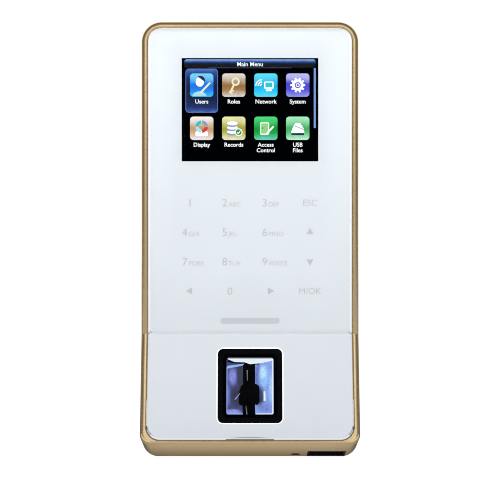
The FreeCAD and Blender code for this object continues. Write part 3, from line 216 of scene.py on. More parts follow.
class Look(Nodes):
    """A material whose patterns follow the piece's own coordinates."""

    def __init__(self, name):
        self.material = bpy.data.materials.new(name)
        self.material.use_nodes = True
        super().__init__(self.material.node_tree)
        self.place = self.add("ShaderNodeTexCoord").outputs["Object"]

    def stretched(self, place, factors):
        return self.add("ShaderNodeVectorMath", {0: place, 1: factors},
                        operation="MULTIPLY").outputs[0]

    def noise(self, scale, detail=3.0, stretch=None):
        place = self.stretched(self.place, stretch) if stretch else self.place
        return self.add("ShaderNodeTexNoise", {"Vector": place, "Scale": scale,
                                               "Detail": detail}).outputs["Fac"]

    def patchy(self, scale, low, high):
        """A value that wanders between two others."""
        return self.span(self.noise(scale), 0.3, 0.7, low, high)

    def cells(self, scale):
        return self.add("ShaderNodeTexVoronoi", {"Vector": self.place, "Scale": scale})

    def ramp(self, value, stops):
        node = self.add("ShaderNodeValToRGB", {0: value})
        elements = node.color_ramp.elements
        while len(elements) < len(stops):
            elements.new(0.5)
        for element, (position, colour) in zip(elements, stops):
            element.position = position
            element.color = colour
        return node.outputs[0]

    def axis(self, letter):
        return self.add("ShaderNodeSeparateXYZ", {0: self.place}).outputs[letter]

    def bump(self, height, deep, under=None):
        """A raised pattern, deep metres high, on top of another one."""
        inputs = {"Height": height, "Strength": 1.0, "Distance": deep}
        if under is not None:
            inputs["Normal"] = under
        return self.add("ShaderNodeBump", inputs).outputs[0]

    def finish(self, shader):
        self.add("ShaderNodeOutputMaterial", {"Surface": shader})
        return self.material

    def plastic(self, colour, rough, normal=None, **values):
        inputs = {"Base Color": colour, "Roughness": rough}
        if normal is not None:
            inputs["Normal"] = normal
        inputs.update({key.replace("_", " "): value for key, value in values.items()})
        return self.finish(self.add("ShaderNodeBsdfPrincipled", inputs).outputs[0])


def plain(name, colour, rough, vary=0.08, patch=60.0, grain=2500.0, deep=4e-6, rough_vary=0.06,
          **values):
    """A moulded, painted or plated surface: patchy colour and sheen with a fine grain."""
    look = Look(name)
    tone = look.mix(look.noise(patch), scaled(colour, 1.0 - vary), scaled(colour, 1.0 + vary))
    sheen = look.patchy(patch * 3.0, rough - rough_vary, rough + rough_vary)
    return look.plastic(tone, sheen, look.bump(look.noise(grain), deep), **values)


def painted_light(name, colour, rough, strength, vary=0.005, glow=None):
    """A thin pale edge, lifted a little by a glow of its own: painted light."""
    return plain(name, colour, rough, vary=vary, Emission_Color=glow or colour,
                 Emission_Strength=strength)


def gold_lacquer():
    """Champagne lacquer: fine metal flakes under a clear coat, with a slight orange peel."""
    look = Look("gold_paint")
    flakes = look.cells(7000.0)
    tone = look.mix(look.span(flakes.outputs["Color"], 0.0, 1.0, 0.35, 0.65),
                    linear(192, 164, 120), linear(232, 208, 168))
    tone = look.mix(look.patchy(90.0, 0.0, 0.25), tone, linear(200, 172, 128))
    peel = look.bump(look.noise(700.0, 2.0), 4e-6)
    return look.plastic(tone, look.patchy(400.0, 0.16, 0.22),
                        look.bump(flakes.outputs["Distance"], 3e-6, peel),
                        Metallic=0.94, Coat_Weight=0.12, Coat_Roughness=0.08,
                        Specular_Tint=(1.0, 0.88, 0.66, 1.0))


def clear(name, tint, index, coated=False):
    """Polished glass seen through without bending light, so that what lies under it is lit.

    A coated face mirrors nothing when it is looked at squarely."""
    look = Look(name)
    smear = look.span(look.noise(35.0, 4.0), 0.35, 0.75, 0.02, 0.05)
    through = look.add("ShaderNodeBsdfTransparent", {"Color": tint})
    mirror = look.add("ShaderNodeBsdfGlossy", {"Roughness": smear,
                                               "Normal": look.bump(look.noise(60.0), 2e-6)})
    share = look.add("ShaderNodeFresnel", {"IOR": index}).outputs[0]
    if coated:
        share = look.span(share, 0.04, 1.0, 0.0, 1.0)
    both = look.add("ShaderNodeMixShader", {0: share, 1: through.outputs[0],
                                            2: mirror.outputs[0]})
    return look.finish(both.outputs[0])


def white_film():
    """Printed film: an even bluish white with a faint print screen."""
    look = Look("white_print")
    tone = look.mix(look.noise(25.0), linear(240, 245, 251), linear(243, 249, 254))
    return look.plastic(tone, look.patchy(150.0, 0.4, 0.5), look.bump(look.noise(3000.0), 2e-6))


def board_green():
    """Solder mask with darker runs of track under it."""
    look = Look("circuit_board")
    tracks = look.add("ShaderNodeTexBrick", {
        "Vector": look.stretched(look.place, (1.0, 0.0, 1.0)), "Scale": 260.0,
        "Mortar Size": 0.06, "Color1": linear(18, 92, 52), "Color2": linear(14, 78, 45),
        "Mortar": linear(32, 122, 70)})
    tone = look.mix(look.span(look.noise(180.0), 0.45, 0.6), tracks.outputs["Color"],
                    linear(14, 80, 46))
    return look.plastic(tone, look.patchy(90.0, 0.25, 0.4),
                        look.bump(tracks.outputs["Fac"], 2e-5))


def brushed(name, colour, rough):
    """Rolled or zinc-plated sheet with fine lines along its length and cloudy spangle."""
    look = Look(name)
    lines = look.noise(900.0, 4.0, (1.0, 1.0, 0.06))
    cloud = look.cells(160.0)
    tone = look.mix(look.span(cloud.outputs["Color"], 0.0, 1.0), scaled(colour, 0.88),
                    scaled(colour, 1.08))
    return look.plastic(tone, look.span(lines, 0.3, 0.7, rough - 0.08, rough + 0.1),
                        look.bump(lines, 4e-6), Metallic=1.0)


def lit(name, colour, strength, vary=0.1):
    """A self-luminous surface with slight unevenness."""
    look = Look(name)
    glow = look.mix(look.noise(300.0), scaled(colour, 1.0 - vary), scaled(colour, 1.0 + vary))
    return look.plastic((0.02, 0.02, 0.02, 1.0), look.patchy(80.0, 0.4, 0.5),
                        Emission_Color=glow, Emission_Strength=strength,
                        Specular_IOR_Level=0.03)


def make_looks():
    """One material for each of the record's slots."""
    return {
        "gold_paint": gold_lacquer(),
        "clear_glass": clear("clear_glass", (0.998, 1.0, 1.0, 1.0), index=1.34),
        "white_print": white_film(),
        "tape": plain("tape", linear(40, 40, 42), 0.8, grain=4000.0, deep=2e-5),
        "white_gloss": plain("white_gloss", linear(213, 219, 225), 0.2, vary=0.008, patch=30.0,
                             grain=500.0, deep=1e-6, rough_vary=0.04, Coat_Weight=0.25),
        "black_gloss": plain("black_gloss", linear(3, 3, 5), 0.25, vary=0.2, grain=800.0,
                             deep=1e-6, Specular_IOR_Level=0.03),
        "black_matt": plain("black_matt", linear(19, 18, 18), 0.55, vary=0.12, grain=3200.0,
                            deep=2.5e-5, Specular_IOR_Level=0.06),
        "silicone": plain("silicone", linear(38, 38, 40), 0.7, grain=1500.0, deep=1e-5),
        "prism_glass": clear("prism_glass", (0.97, 0.98, 1.0, 1.0), index=1.4, coated=True),
        "diffuser": lit("diffuser", linear(160, 176, 240), 0.8),
        "led": plain("led", linear(238, 226, 150), 0.3, vary=0.1, Coat_Weight=0.5),
        "circuit_board": board_green(),
        "chip": plain("chip", linear(38, 38, 40), 0.6, grain=3000.0, deep=1.2e-5),
        "steel": brushed("steel", linear(186, 190, 194), 0.36),
        "screw_steel": brushed("screw_steel", linear(176, 178, 182), 0.3),
        "black_oxide": brushed("black_oxide", linear(58, 58, 62), 0.4),
        "tin": brushed("tin", linear(196, 198, 202), 0.34),
        "copper": plain("copper", linear(200, 120, 70), 0.35, vary=0.12, grain=1200.0,
                        Metallic=1.0),
        "contact": plain("contact", linear(222, 184, 106), 0.28, vary=0.08, Metallic=1.0),
        "display": plain("display", linear(1, 2, 4), 0.35, vary=0.3, deep=1e-7,
                         Specular_IOR_Level=0.0),
        "light_film": plain("light_film", linear(228, 230, 232), 0.5, vary=0.03),
        "status_light": plain("status_light", linear(219, 224, 229), 0.35, vary=0.02,
                              patch=120.0, deep=2e-6, Subsurface_Weight=0.1,
                              Subsurface_Scale=0.001),
        "flex": plain("flex", linear(176, 118, 48), 0.35, vary=0.1, grain=900.0),
        "connector": plain("connector", linear(214, 208, 190), 0.45, vary=0.05, grain=2600.0,
                           deep=8e-6),
        "relay_case": plain("relay_case", linear(28, 60, 120), 0.4, vary=0.08, grain=2600.0),
        "foam": plain("foam", linear(48, 48, 50), 0.9, grain=2600.0, deep=6e-5),
        "paper_cone": plain("paper_cone", linear(52, 50, 48), 0.75, vary=0.15, grain=1800.0,
                            deep=3e-5),
        "button": plain("button", linear(196, 60, 50), 0.4, vary=0.05, grain=2600.0, deep=6e-6),
    }


def dress_nodes(looks):
    """Every carried-over node takes its slot's material."""
    for part in frame["record"]["subparts"]:
        mesh = NODES[part["node"]].data
        mesh.materials.clear()
        mesh.materials.append(looks[part["material_slot"]])


# ---------- thin drawn shapes

def disc(across, up, radius, squash=1.0, start=0.0, end=360.0, count=28):
    """A circle, ellipse or arc of points about a centre."""
    whole = abs(end - start) >= 360.0
    steps = count if whole else max(4, int(count * abs(end - start) / 360.0))
    angles = [math.radians(start + (end - start) * i / steps)
              for i in range(steps if whole else steps + 1)]
    return [(across + radius * math.cos(a), up + radius * squash * math.sin(a)) for a in angles]


def box(across, up, wide, tall, radius=0.0, count=5):
    """A rectangle with rounded corners."""
    if radius <= 0:
        return [(across + sx * wide / 2, up + sz * tall / 2)
                for sx, sz in ((1, 1), (-1, 1), (-1, -1), (1, -1))]
    points = []
    for sx, sz, first in ((1, 1, 0), (-1, 1, 90), (-1, -1, 180), (1, -1, 270)):
        points += disc(across + sx * (wide / 2 - radius), up + sz * (tall / 2 - radius), radius,
                       start=first, end=first + 90, count=4 * count)
    return points


def bar(first, second, wide):
    """A straight stroke between two points."""
    (ax, az), (bx, bz) = first, second
    long = math.hypot(bx - ax, bz - az)
    nx, nz = -(bz - az) / long * wide / 2, (bx - ax) / long * wide / 2
    return [(ax + nx, az + nz), (ax - nx, az - nz), (bx - nx, bz - nz), (bx + nx, bz + nz)]


def band(outer, inner):
    """The strip between two rings with the same number of points."""
    count = len(outer)
    return [[outer[i], outer[(i + 1) % count], inner[(i + 1) % count], inner[i]]
            for i in range(count)]


def moved(outline, across, up, size):
    """A unit outline enlarged and put in its place."""
    return [(across + x * size, up + z * size) for x, z in outline]


CAPITAL = 0.73  # a capital's height in a font of size 1
PLATE = 0.01    # a drawn plate's thickness in mm, where nothing else is given


def new_piece(name, points, faces, looks):
    """A mesh object with its materials; points in metres."""
    mesh = bpy.data.meshes.new(name)
    mesh.from_pydata(points, [], faces)
    for look in looks:
        mesh.materials.append(look)
    mesh.update()
    piece = bpy.data.objects.new(name, mesh)
    SCENE.collection.objects.link(piece)
    return piece


class Sheet:
    """Thin plates drawn across and up a flat face, each between two depths in front of it.

    The object's own axes are across, out of the face, and up, so a material's Object
    coordinates read across and up directly."""

    def __init__(self, name, looks, origin=(0.0, 0.0, 0.0), tilt=0.0):
        self.name = name
        self.looks = looks
        self.order = list(looks)
        self.points, self.faces, self.slots = [], [], []
        self.matrix = Matrix.Translation(origin) @ Matrix.Rotation(tilt, 4, "X")

    def plate(self, outline, look, level, thick=PLATE):
        """A closed plate; outline in mm, level and thick in mm in front of the face."""
        area = sum(outline[i - 1][0] * outline[i][1] - outline[i][0] * outline[i - 1][1]
                   for i in range(len(outline)))
        ring = list(outline) if area > 0 else list(reversed(outline))
        count, first = len(ring), len(self.points)
        for depth in (level, level + thick):
            self.points += [(x * MM, -depth * MM, z * MM) for x, z in ring]
        back = list(range(first, first + count))
        front = list(range(first + count, first + 2 * count))
        faces = [tuple(reversed(back)), tuple(front)]
        faces += [(back[i], back[(i + 1) % count], front[(i + 1) % count], front[i])
                  for i in range(count)]
        self.faces += faces
        self.slots += [self.order.index(look)] * len(faces)

    def plates(self, outlines, look, level, thick=PLATE):
        for outline in outlines:
            self.plate(outline, look, level, thick)

    def words(self, text, across, up, tall, look, level, weight=0.0, side="CENTER"):
        """Lettering with its baseline at up; tall is the height of a capital, in mm."""
        data = bpy.data.curves.new("words", "FONT")
        data.body = text
        data.align_x = side
        data.size = tall / CAPITAL
        data.offset = weight
        data.resolution_u = 3
        holder = bpy.data.objects.new("words", data)
        SCENE.collection.objects.link(holder)
        bpy.context.view_layer.update()
        mesh = bpy.data.meshes.new_from_object(
            holder.evaluated_get(bpy.context.evaluated_depsgraph_get()))
        flat = [(v.co.x + across, v.co.y + up) for v in mesh.vertices]
        for face in mesh.polygons:
            self.plate([flat[i] for i in face.vertices], look, level)
        bpy.data.meshes.remove(mesh)
        bpy.data.objects.remove(holder)
        bpy.data.curves.remove(data)

    def make(self, body):
        """The finished piece, which rides on a body."""
        piece = new_piece(self.name, self.points, self.faces, self.looks.values())
        piece.data.polygons.foreach_set("material_index", self.slots)
        piece.data.update()
        piece.matrix_world = self.matrix
        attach(piece, body)
        return piece


make_camera()
make_world()
KEY_LIGHT = make_key_light()
LOOKS = make_looks()
dress_nodes(LOOKS)


# ---------- floor

FLOOR_HALF = 3.0
FLOOR_GAP = 0.0004


def make_floor():
    """A pale floor under the terminal's lower edge."""
    look = Look("floor_paint")
    matt = look.add("ShaderNodeBsdfDiffuse", {"Color": look.mix(
        look.noise(4.0), linear(238, 238, 236), linear(244, 244, 242))})
    rays = look.add("ShaderNodeLightPath").outputs
    seen, polished = rays["Is Camera Ray"], rays["Is Glossy Ray"]
    # Polished surfaces mirror a pale strip some way ahead, brightest 5 to 10 cm out, and a dimmer
    # one right under the terminal. Both change with the distance from the middle.
    depth, aside = look.axis("Y"), look.math("ABSOLUTE", look.axis("X"))
    far = look.product(look.span(depth, -0.2, -0.1, 0.6, 1.5, True),
                       look.span(depth, -0.05, -0.025, 1.0, 0.0, True),
                       look.span(aside, 0.034, 0.056, 0.55, 1.0))
    near = look.product(look.span(depth, -0.011, 0.001, 0.66, 0.2, True),
                        look.span(depth, -0.05, -0.025, 0.0, 1.0, True),
                        look.span(aside, 0.03, 0.05, 1.0, 0.6))
    strip = look.product(polished, look.math("ADD", far, near))
    dull = look.product(look.math("SUBTRACT", 1.0, polished), look.span(seen, 0.0, 1.0, 0.1, 0.97))
    glow = look.add("ShaderNodeEmission", {"Strength": look.math("ADD", dull, strip)})
    hide = look.math("MAXIMUM", polished, look.span(seen, 0.0, 1.0, 0.6, 0.9))
    dim = look.add("ShaderNodeMixShader", {0: hide, 1: matt.outputs[0]})
    both = look.add("ShaderNodeAddShader", {0: dim.outputs[0], 1: glow.outputs[0]})
    paint = look.finish(both.outputs[0])
    paint.cycles.emission_sampling = "NONE"
    half, level = FLOOR_HALF, CAD_BOX[0].z - FLOOR_GAP
    floor = new_piece("floor", [(-half, -half, level), (half, -half, level), (half, half, level),
                                (-half, half, level)], [(0, 1, 2, 3)], [paint])


make_floor()


# ---------- places read from the frame

def front_level(node):
    """Distance of a node's front from the wall, in mm."""
    return -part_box(node)[0].y / MM


def middle(node):
    """A node's centre across and up, in mm."""
    low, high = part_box(node)
    return (low.x + high.x) / 2 / MM, (low.z + high.z) / 2 / MM


# ---------- keypad legends

# In mm, as are all drawn shapes from here on.
LAMP_GAP = 3.0                         # lamps farther apart than this belong to different keys
DIGIT, LETTER, ARROW_REACH = 2.9, 1.7, 1.5
DIGIT_SHIFT, LETTER_SHIFT = -0.9, -0.6  # where a digit ends and its letters start
WORD_KEY = 1.38                        # a word key's capitals, in letter heights
ARROW_TURN = {"up": 90.0, "down": 270.0, "left": 180.0, "right": 0.0}


def key_places():
    """Columns and rows of the keypad, read from the lamps behind the keys."""
    mesh = NODES["key_leds"].data

    def groups(values):
        found = []
        for value in sorted(values):
            if not found or value - found[-1][-1] > LAMP_GAP:
                found.append([])
            found[-1].append(value)
        return [(g[0] + g[-1]) / 2 for g in found]

    across = groups(v.co.x / MM for v in mesh.vertices)
    up = groups(v.co.z / MM for v in mesh.vertices)
    return across, list(reversed(up))


def make_legends():
    """The keys' digits, letters, words and arrows in pale grey ink."""
    look = Look("legend_ink")
    tone = look.mix(look.noise(120.0), linear(204, 209, 214), linear(209, 214, 219))
    ink = look.plastic(tone, look.patchy(400.0, 0.45, 0.55))
    sheet = Sheet("key_legends", {"ink": ink})
    level = front_level("legend_film")
    columns, rows = key_places()
    keys = [[("1", ""), ("2", "ABC"), ("3", "DEF"), ("ESC", None)],
            [("4", "GHI"), ("5", "JKL"), ("6", "MNO"), "up"],
            [("7", "PQRS"), ("8", "TUV"), ("9", "WXYZ"), "down"],
            ["left", ("0", ""), "right", ("M/OK", None)]]
    for up, line in zip(rows, keys):
        for across, key in zip(columns, line):
            if isinstance(key, str):
                turn = ARROW_TURN[key]
                sheet.plate(disc(across, up, ARROW_REACH, start=turn, end=turn + 360.0, count=3),
                            "ink", level)
                continue
            main, small = key
            low = up - DIGIT / 2
            if small is None:
                sheet.words(main, across, up - LETTER * 0.66, LETTER * WORD_KEY, "ink", level,
                            weight=-0.003)
            elif not small:
                sheet.words(main, across, low, DIGIT, "ink", level)
            else:
                sheet.words(main, across + DIGIT_SHIFT, low, DIGIT, "ink", level, side="RIGHT")
                sheet.words(small, across + LETTER_SHIFT, low, LETTER, "ink", level, side="LEFT",
                            weight=-0.004)
    sheet.make("terminal")


make_legends()

# ---------- what the display shows

def banded(name, centre, half, stops, pitch=None, vary=0.05):
    """A luminous face whose colour runs from its lower to its upper edge.

    With a pitch, the run repeats for each row of tiles."""
    look = Look(name)
    up = look.math("SUBTRACT", look.axis("Z"), (centre - half) * MM)
    if pitch:
        up = look.math("FLOORED_MODULO", up, pitch * MM)
    run = look.math("DIVIDE", up, 2 * half * MM, clamp=True)
    run = look.math("ADD", run, look.patchy(500.0, -vary, vary), clamp=True)
    return look.plastic((0.01, 0.01, 0.01, 1.0), look.patchy(90.0, 0.4, 0.5),
                        Emission_Color=look.ramp(run, stops), Emission_Strength=1.0,
                        Specular_IOR_Level=0.03)


def tile_stops(top, dark, low):
    """Glossy button shading: pale top, a darker step below the middle, pale foot."""
    return [(0.0, low), (0.28, scaled(dark, 1.35)), (0.48, dark), (0.56, scaled(dark, 1.2)),
            (0.8, top), (1.0, scaled(top, 1.25))]


# The tiles stand in four columns and two rows round the display's middle.
SCREEN_ACROSS, SCREEN_UP = middle("lcd_panel")
SCREEN_LEVEL = front_level("lcd_panel") + 0.01
TITLE_UP = SCREEN_UP + 16.6
COLUMNS = [-17.4, -5.85, 5.7, 17.2]
ROWS = [SCREEN_UP + 8.85, SCREEN_UP - 6.7]
TILE = 8.4
TILE_COLOURS = {  # the top, the dark step below the middle, and the foot
    "sky": ((110, 200, 250), (22, 118, 222), (60, 200, 240)),
    "sand": ((214, 204, 190), (150, 112, 66), (226, 222, 216)),
    "aqua": ((80, 214, 244), (22, 176, 226), (96, 224, 244)),
    "violet": ((176, 176, 240), (72, 70, 196), (150, 156, 236)),
    "linen": ((236, 228, 222), (196, 158, 120), (236, 238, 244)),
    "olive": ((222, 220, 160), (166, 164, 62), (240, 240, 214)),
    "green": ((66, 206, 110), (2, 150, 50), (110, 214, 190)),
    "mint": ((150, 226, 176), (74, 172, 108), (196, 244, 214)),
}
INK_COLOURS = {
    "cream": (250, 240, 196), "navy": (14, 26, 70), "pale": (170, 226, 240),
    "teal": (40, 196, 206), "red": (216, 56, 44), "grey": (138, 160, 190),
    "leaf": (20, 140, 60), "lime": (150, 214, 130),
}
LABELS = [["Users"], ["Roles"], ["Network"], ["System"],
          ["Display"], ["Records"], ["Access", "Control"], ["USB", "Files"]]


def make_tiles():
    """The title bar, a scroll bar, the chosen tile's field and the eight tiles."""
    chosen_up = ROWS[0] - 2.0
    looks = {name: banded("tile_" + name, ROWS[1], TILE / 2,
                          tile_stops(*(linear(*colour) for colour in colours)),
                          pitch=ROWS[0] - ROWS[1])
             for name, colours in TILE_COLOURS.items()}
    looks["title"] = banded("title_bar", TITLE_UP, 1.5,
                            [(0.0, linear(2, 3, 7)), (0.42, linear(5, 9, 24)),
                             (0.58, linear(14, 34, 80)), (0.72, linear(42, 80, 150)),
                             (0.88, linear(96, 140, 216)), (1.0, linear(164, 210, 252))],
                            vary=0.02)
    looks["chosen"] = banded("chosen_tile", chosen_up, 8.0,
                             [(0.0, linear(92, 128, 200)), (0.05, linear(52, 84, 158)),
                              (0.13, linear(26, 46, 104)), (0.3, linear(13, 24, 66)),
                              (0.6, linear(12, 24, 68)), (0.8, linear(22, 46, 110)),
                              (0.92, linear(44, 80, 158)), (1.0, linear(84, 124, 200))],
                             vary=0.02)
    looks["edge"] = lit("chosen_edge", linear(84, 118, 190), 1.0)
    looks["line"] = lit("screen_line", linear(96, 112, 156), 0.8)
    looks["rail"] = lit("screen_rail", linear(116, 156, 222), 1.0)
    sheet = Sheet("screen_tiles", looks)
    sheet.plate(box(SCREEN_ACROSS, TITLE_UP, 47.4, 3.0, 0.9), "title", SCREEN_LEVEL)
    sheet.plate(box(SCREEN_ACROSS, SCREEN_UP + 15.1, 30.0, 0.2), "line", SCREEN_LEVEL)
    sheet.plate(box(23.35, SCREEN_UP + 4.2, 0.75, 21.6, 0.2), "rail", SCREEN_LEVEL)
    sheet.plate(box(COLUMNS[0], chosen_up, 11.7, 15.9, 1.3), "edge", SCREEN_LEVEL)
    sheet.plate(box(COLUMNS[0], chosen_up, 11.2, 15.4, 1.1), "chosen", SCREEN_LEVEL + 0.012,
                0.006)
    for index, name in enumerate(TILE_COLOURS):
        sheet.plate(box(COLUMNS[index % 4], ROWS[index // 4], TILE, TILE, 1.15), name,
                    SCREEN_LEVEL + 0.02)
    sheet.make("terminal")


def make_symbols(inks):
    """A plain symbol on each tile, drawn in units of half a tile's side."""
    sheet = Sheet("screen_symbols", inks)

    def put(index, outline, ink, layer=0):
        sheet.plate(moved(outline, COLUMNS[index % 4], ROWS[index // 4], TILE / 2), ink,
                    SCREEN_LEVEL + 0.035 + layer * 0.012)

    def ring(index, across, up, outer, inner, ink, layer=0, **arc):
        strips = band(disc(across, up, outer, **arc), disc(across, up, inner, **arc))
        for strip in strips[:-1] if arc else strips:
            put(index, strip, ink, layer)

    # A head and shoulders with a pen.
    put(0, disc(-0.2, -1.0, 0.62, 0.75, 10, 170), "pale")
    put(0, disc(-0.16, 0.28, 0.36, 1.15), "white", 1)
    put(0, disc(-0.12, 0.42, 0.4, 0.95, -20, 125), "navy", 2)
    put(0, bar((-0.12, -0.68), (0.72, 0.2), 0.16), "cream", 3)
    # A key.
    ring(1, 0.16, 0.3, 0.36, 0.2, "cream")
    put(1, bar((0.04, 0.06), (-0.34, -0.68), 0.17), "cream")
    put(1, bar((-0.2, -0.42), (0.0, -0.52), 0.13), "cream", 1)
    put(1, bar((-0.3, -0.62), (-0.1, -0.72), 0.13), "cream", 1)
    # A screen and three arcs of a signal.
    put(2, box(0.26, 0.0, 0.82, 0.62, 0.1), "white")
    put(2, box(0.26, 0.02, 0.6, 0.4, 0.06), "teal", 1)
    put(2, box(0.26, -0.44, 0.5, 0.16, 0.05), "white")
    for radius in (0.22, 0.42, 0.62):
        ring(2, -0.3, -0.1, radius, radius - 0.1, "white", 1, start=95, end=175)
    # A gear.
    for tooth in range(10):
        angle = math.radians(36 * tooth)
        put(3, bar((0.3 * math.cos(angle), 0.3 * math.sin(angle)),
                   (0.64 * math.cos(angle), 0.64 * math.sin(angle)), 0.17), "white")
    ring(3, 0, 0, 0.5, 0.26, "white", 1)
    ring(3, 0, 0, 0.17, 0.09, "white", 1)
    # A wheel of colours on a card.
    put(4, box(0.0, -0.46, 1.1, 0.44, 0.16), "white")
    for start, ink in ((95, "teal"), (185, "pale"), (275, "red"), (5, "grey")):
        ring(4, 0.0, 0.14, 0.54, 0.25, ink, 1, start=start, end=start + 80)
    # Stacked disks with a tick.
    for disk, up in enumerate((-0.42, -0.06, 0.3)):
        put(5, disc(-0.12, up, 0.46, 0.42), "grey", 2 * disk)
        put(5, disc(-0.12, up + 0.12, 0.46, 0.38), "white", 2 * disk + 1)
    put(5, disc(0.42, -0.34, 0.33), "white", 6)
    put(5, disc(0.42, -0.34, 0.25), "leaf", 7)
    put(5, bar((0.28, -0.34), (0.4, -0.48), 0.08), "white", 8)
    put(5, bar((0.38, -0.48), (0.58, -0.2), 0.08), "white", 8)
    # A door with a handle, and a pass held to it.
    put(6, box(-0.1, -0.02, 0.78, 1.06, 0.12), "white")
    put(6, box(-0.1, -0.02, 0.6, 0.88, 0.05), "lime", 1)
    put(6, disc(-0.28, 0.02, 0.07), "leaf", 2)
    put(6, bar((0.02, -0.52), (0.66, 0.16), 0.15), "white", 2)
    # A memory stick on its shadow.
    put(7, box(0.0, -0.5, 1.1, 0.16, 0.04), "navy")
    put(7, [(-0.58, -0.4), (0.58, -0.4), (0.5, 0.02), (0.2, 0.46), (-0.2, 0.46), (-0.46, 0.0)],
        "white", 1)
    put(7, bar((-0.26, 0.2), (0.56, -0.12), 0.06), "grey", 2)
    sheet.make("terminal")


def make_words(ink):
    """The title and a label under each tile."""
    sheet = Sheet("screen_words", {"white": ink})
    level = SCREEN_LEVEL + 0.02
    sheet.words("Main Menu", SCREEN_ACROSS, SCREEN_UP + 15.7, 1.55, "white", level, weight=0.03)
    for index, lines in enumerate(LABELS):
        for row, text in enumerate(lines):
            sheet.words(text, COLUMNS[index % 4], ROWS[index // 4] - TILE / 2 - 2.4 - 2.0 * row,
                        1.5, "white", level, weight=0.035)
    sheet.make("terminal")


def make_screen():
    """A menu of eight tiles, each with a plain symbol and a word."""
    make_tiles()
    inks = {"white": lit("symbol_white", linear(246, 250, 252), 1.15, 0.04)}
    for name, colour in INK_COLOURS.items():
        inks[name] = lit("symbol_" + name, linear(*colour), 1.0)
    make_symbols(inks)
    make_words(inks["white"])


make_screen()

# ---------- inside the fingerprint window

def front_plane(node):
    """Centre and lean of a node's front face: the flat area that faces most to the front."""
    mesh = NODES[node].data
    groups = {}
    for face in mesh.polygons:
        if face.normal.y < -0.9:
            groups.setdefault(round(face.normal.z, 2), []).append(face)
    best = max(groups.values(), key=lambda faces: sum(f.area for f in faces))
    area = sum(f.area for f in best)
    centre = sum((f.center * f.area for f in best), Vector()) / area
    normal = sum((f.normal * f.area for f in best), Vector()).normalized()
    return centre, math.atan2(normal.z, -normal.y)


def blob(look, across, up, wide, tall, hard=0.0):
    """1 inside an ellipse fading to 0 outside; mm in the sheet's own axes."""
    shifted = look.add("ShaderNodeVectorMath",
                       {0: look.place, 1: (-across * MM, 0.0, -up * MM)},
                       operation="ADD").outputs[0]
    shrunk = look.stretched(shifted, (1.0 / (wide * MM), 0.0, 1.0 / (tall * MM)))
    far = look.add("ShaderNodeVectorMath", {0: shrunk}, operation="LENGTH").outputs["Value"]
    return look.span(far, hard, 1.0, 1.0, 0.0, smooth=True)


def glow_look(name, base, patches):
    """A lit wall seen through the prism: painted patches of brighter and darker light over a base
    colour, with a weave.
    """
    look = Look(name)
    tone = base
    for colour, *shape in patches:
        tone = look.mix(blob(look, *shape), tone, colour)
    grain = look.span(look.noise(1500.0, 3.0), 0.35, 0.65, 0.0, 0.26)
    tone = look.mix(grain, tone, (0.015, 0.02, 0.07, 1.0))
    return look.plastic((0.02, 0.02, 0.03, 1.0), look.patchy(200.0, 0.3, 0.5),
                        Emission_Color=tone, Emission_Strength=1.0)


# Sheets in the window lie in the plane of the prism's front, and depths are counted from it.
PRISM_CENTRE, LEAN = front_plane("fingerprint_prism")
ON_PRISM = dict(origin=tuple(PRISM_CENTRE), tilt=-LEAN)
PRISM_DEEP = 3.4
VIEW_HALF_WIDE, VIEW_HALF_TALL = 8.45, 10.05
WALL_START, WALL_STRIPS, WALL_BEND = 1.6, 10, 0.9
BARREL_LEFT, BARREL_RIGHT = -2.5, 1.85


def make_sensor_glow():
    """Two lit walls behind the prism, bent back near the middle in flat strips."""
    walls = Sheet("sensor_glow", {
        # Each wall's base colour, then its painted patches of brighter and darker light: colour,
        # across, up, wide, tall and hardness.
        "left": glow_look("glow_left", linear(54, 60, 106), [
            (linear(134, 140, 226), -6.3, 3.6, 2.2, 4.2, 0.3),
            (linear(104, 114, 196), -7.9, -3.0, 1.3, 6.0, 0.2),
            (linear(14, 16, 30), -4.6, -3.6, 3.4, 4.6, 0.3),
            (linear(28, 30, 56), -3.4, 4.6, 1.8, 8.0, 0.4),
            (linear(150, 156, 236), -6.2, -9.2, 4.0, 1.5, 0.4)]),
        "right": glow_look("glow_right", linear(138, 168, 240), [
            (linear(104, 116, 196), 2.9, 4.0, 1.6, 7.0, 0.3),
            (linear(152, 206, 255), 4.9, 3.6, 2.6, 6.0, 0.2),
            (linear(200, 240, 255), 4.7, 5.2, 1.7, 3.4, 0.1),
            (linear(176, 216, 255), 7.7, -0.5, 1.4, 8.0, 0.1),
            (linear(34, 40, 80), 3.7, -3.6, 2.0, 5.4, 0.3),
            (linear(116, 140, 212), 5.4, -7.6, 3.4, 2.6, 0.2)]),
    }, **ON_PRISM)
    reach = VIEW_HALF_WIDE - WALL_START
    edges = [WALL_START + reach * i / WALL_STRIPS for i in range(WALL_STRIPS + 1)]
    for side, look in ((-1, "left"), (1, "right")):
        for inner, outer in zip(edges, edges[1:]):
            bend = WALL_BEND * (1 - ((inner + outer) / 2 - WALL_START) / reach) ** 2
            walls.plate(box(side * (inner + outer) / 2, 0.0, outer - inner, 2 * VIEW_HALF_TALL),
                        look, -PRISM_DEEP - 0.3 - bend, 0.2)
    glow = walls.make("terminal")
    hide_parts("light_panels")


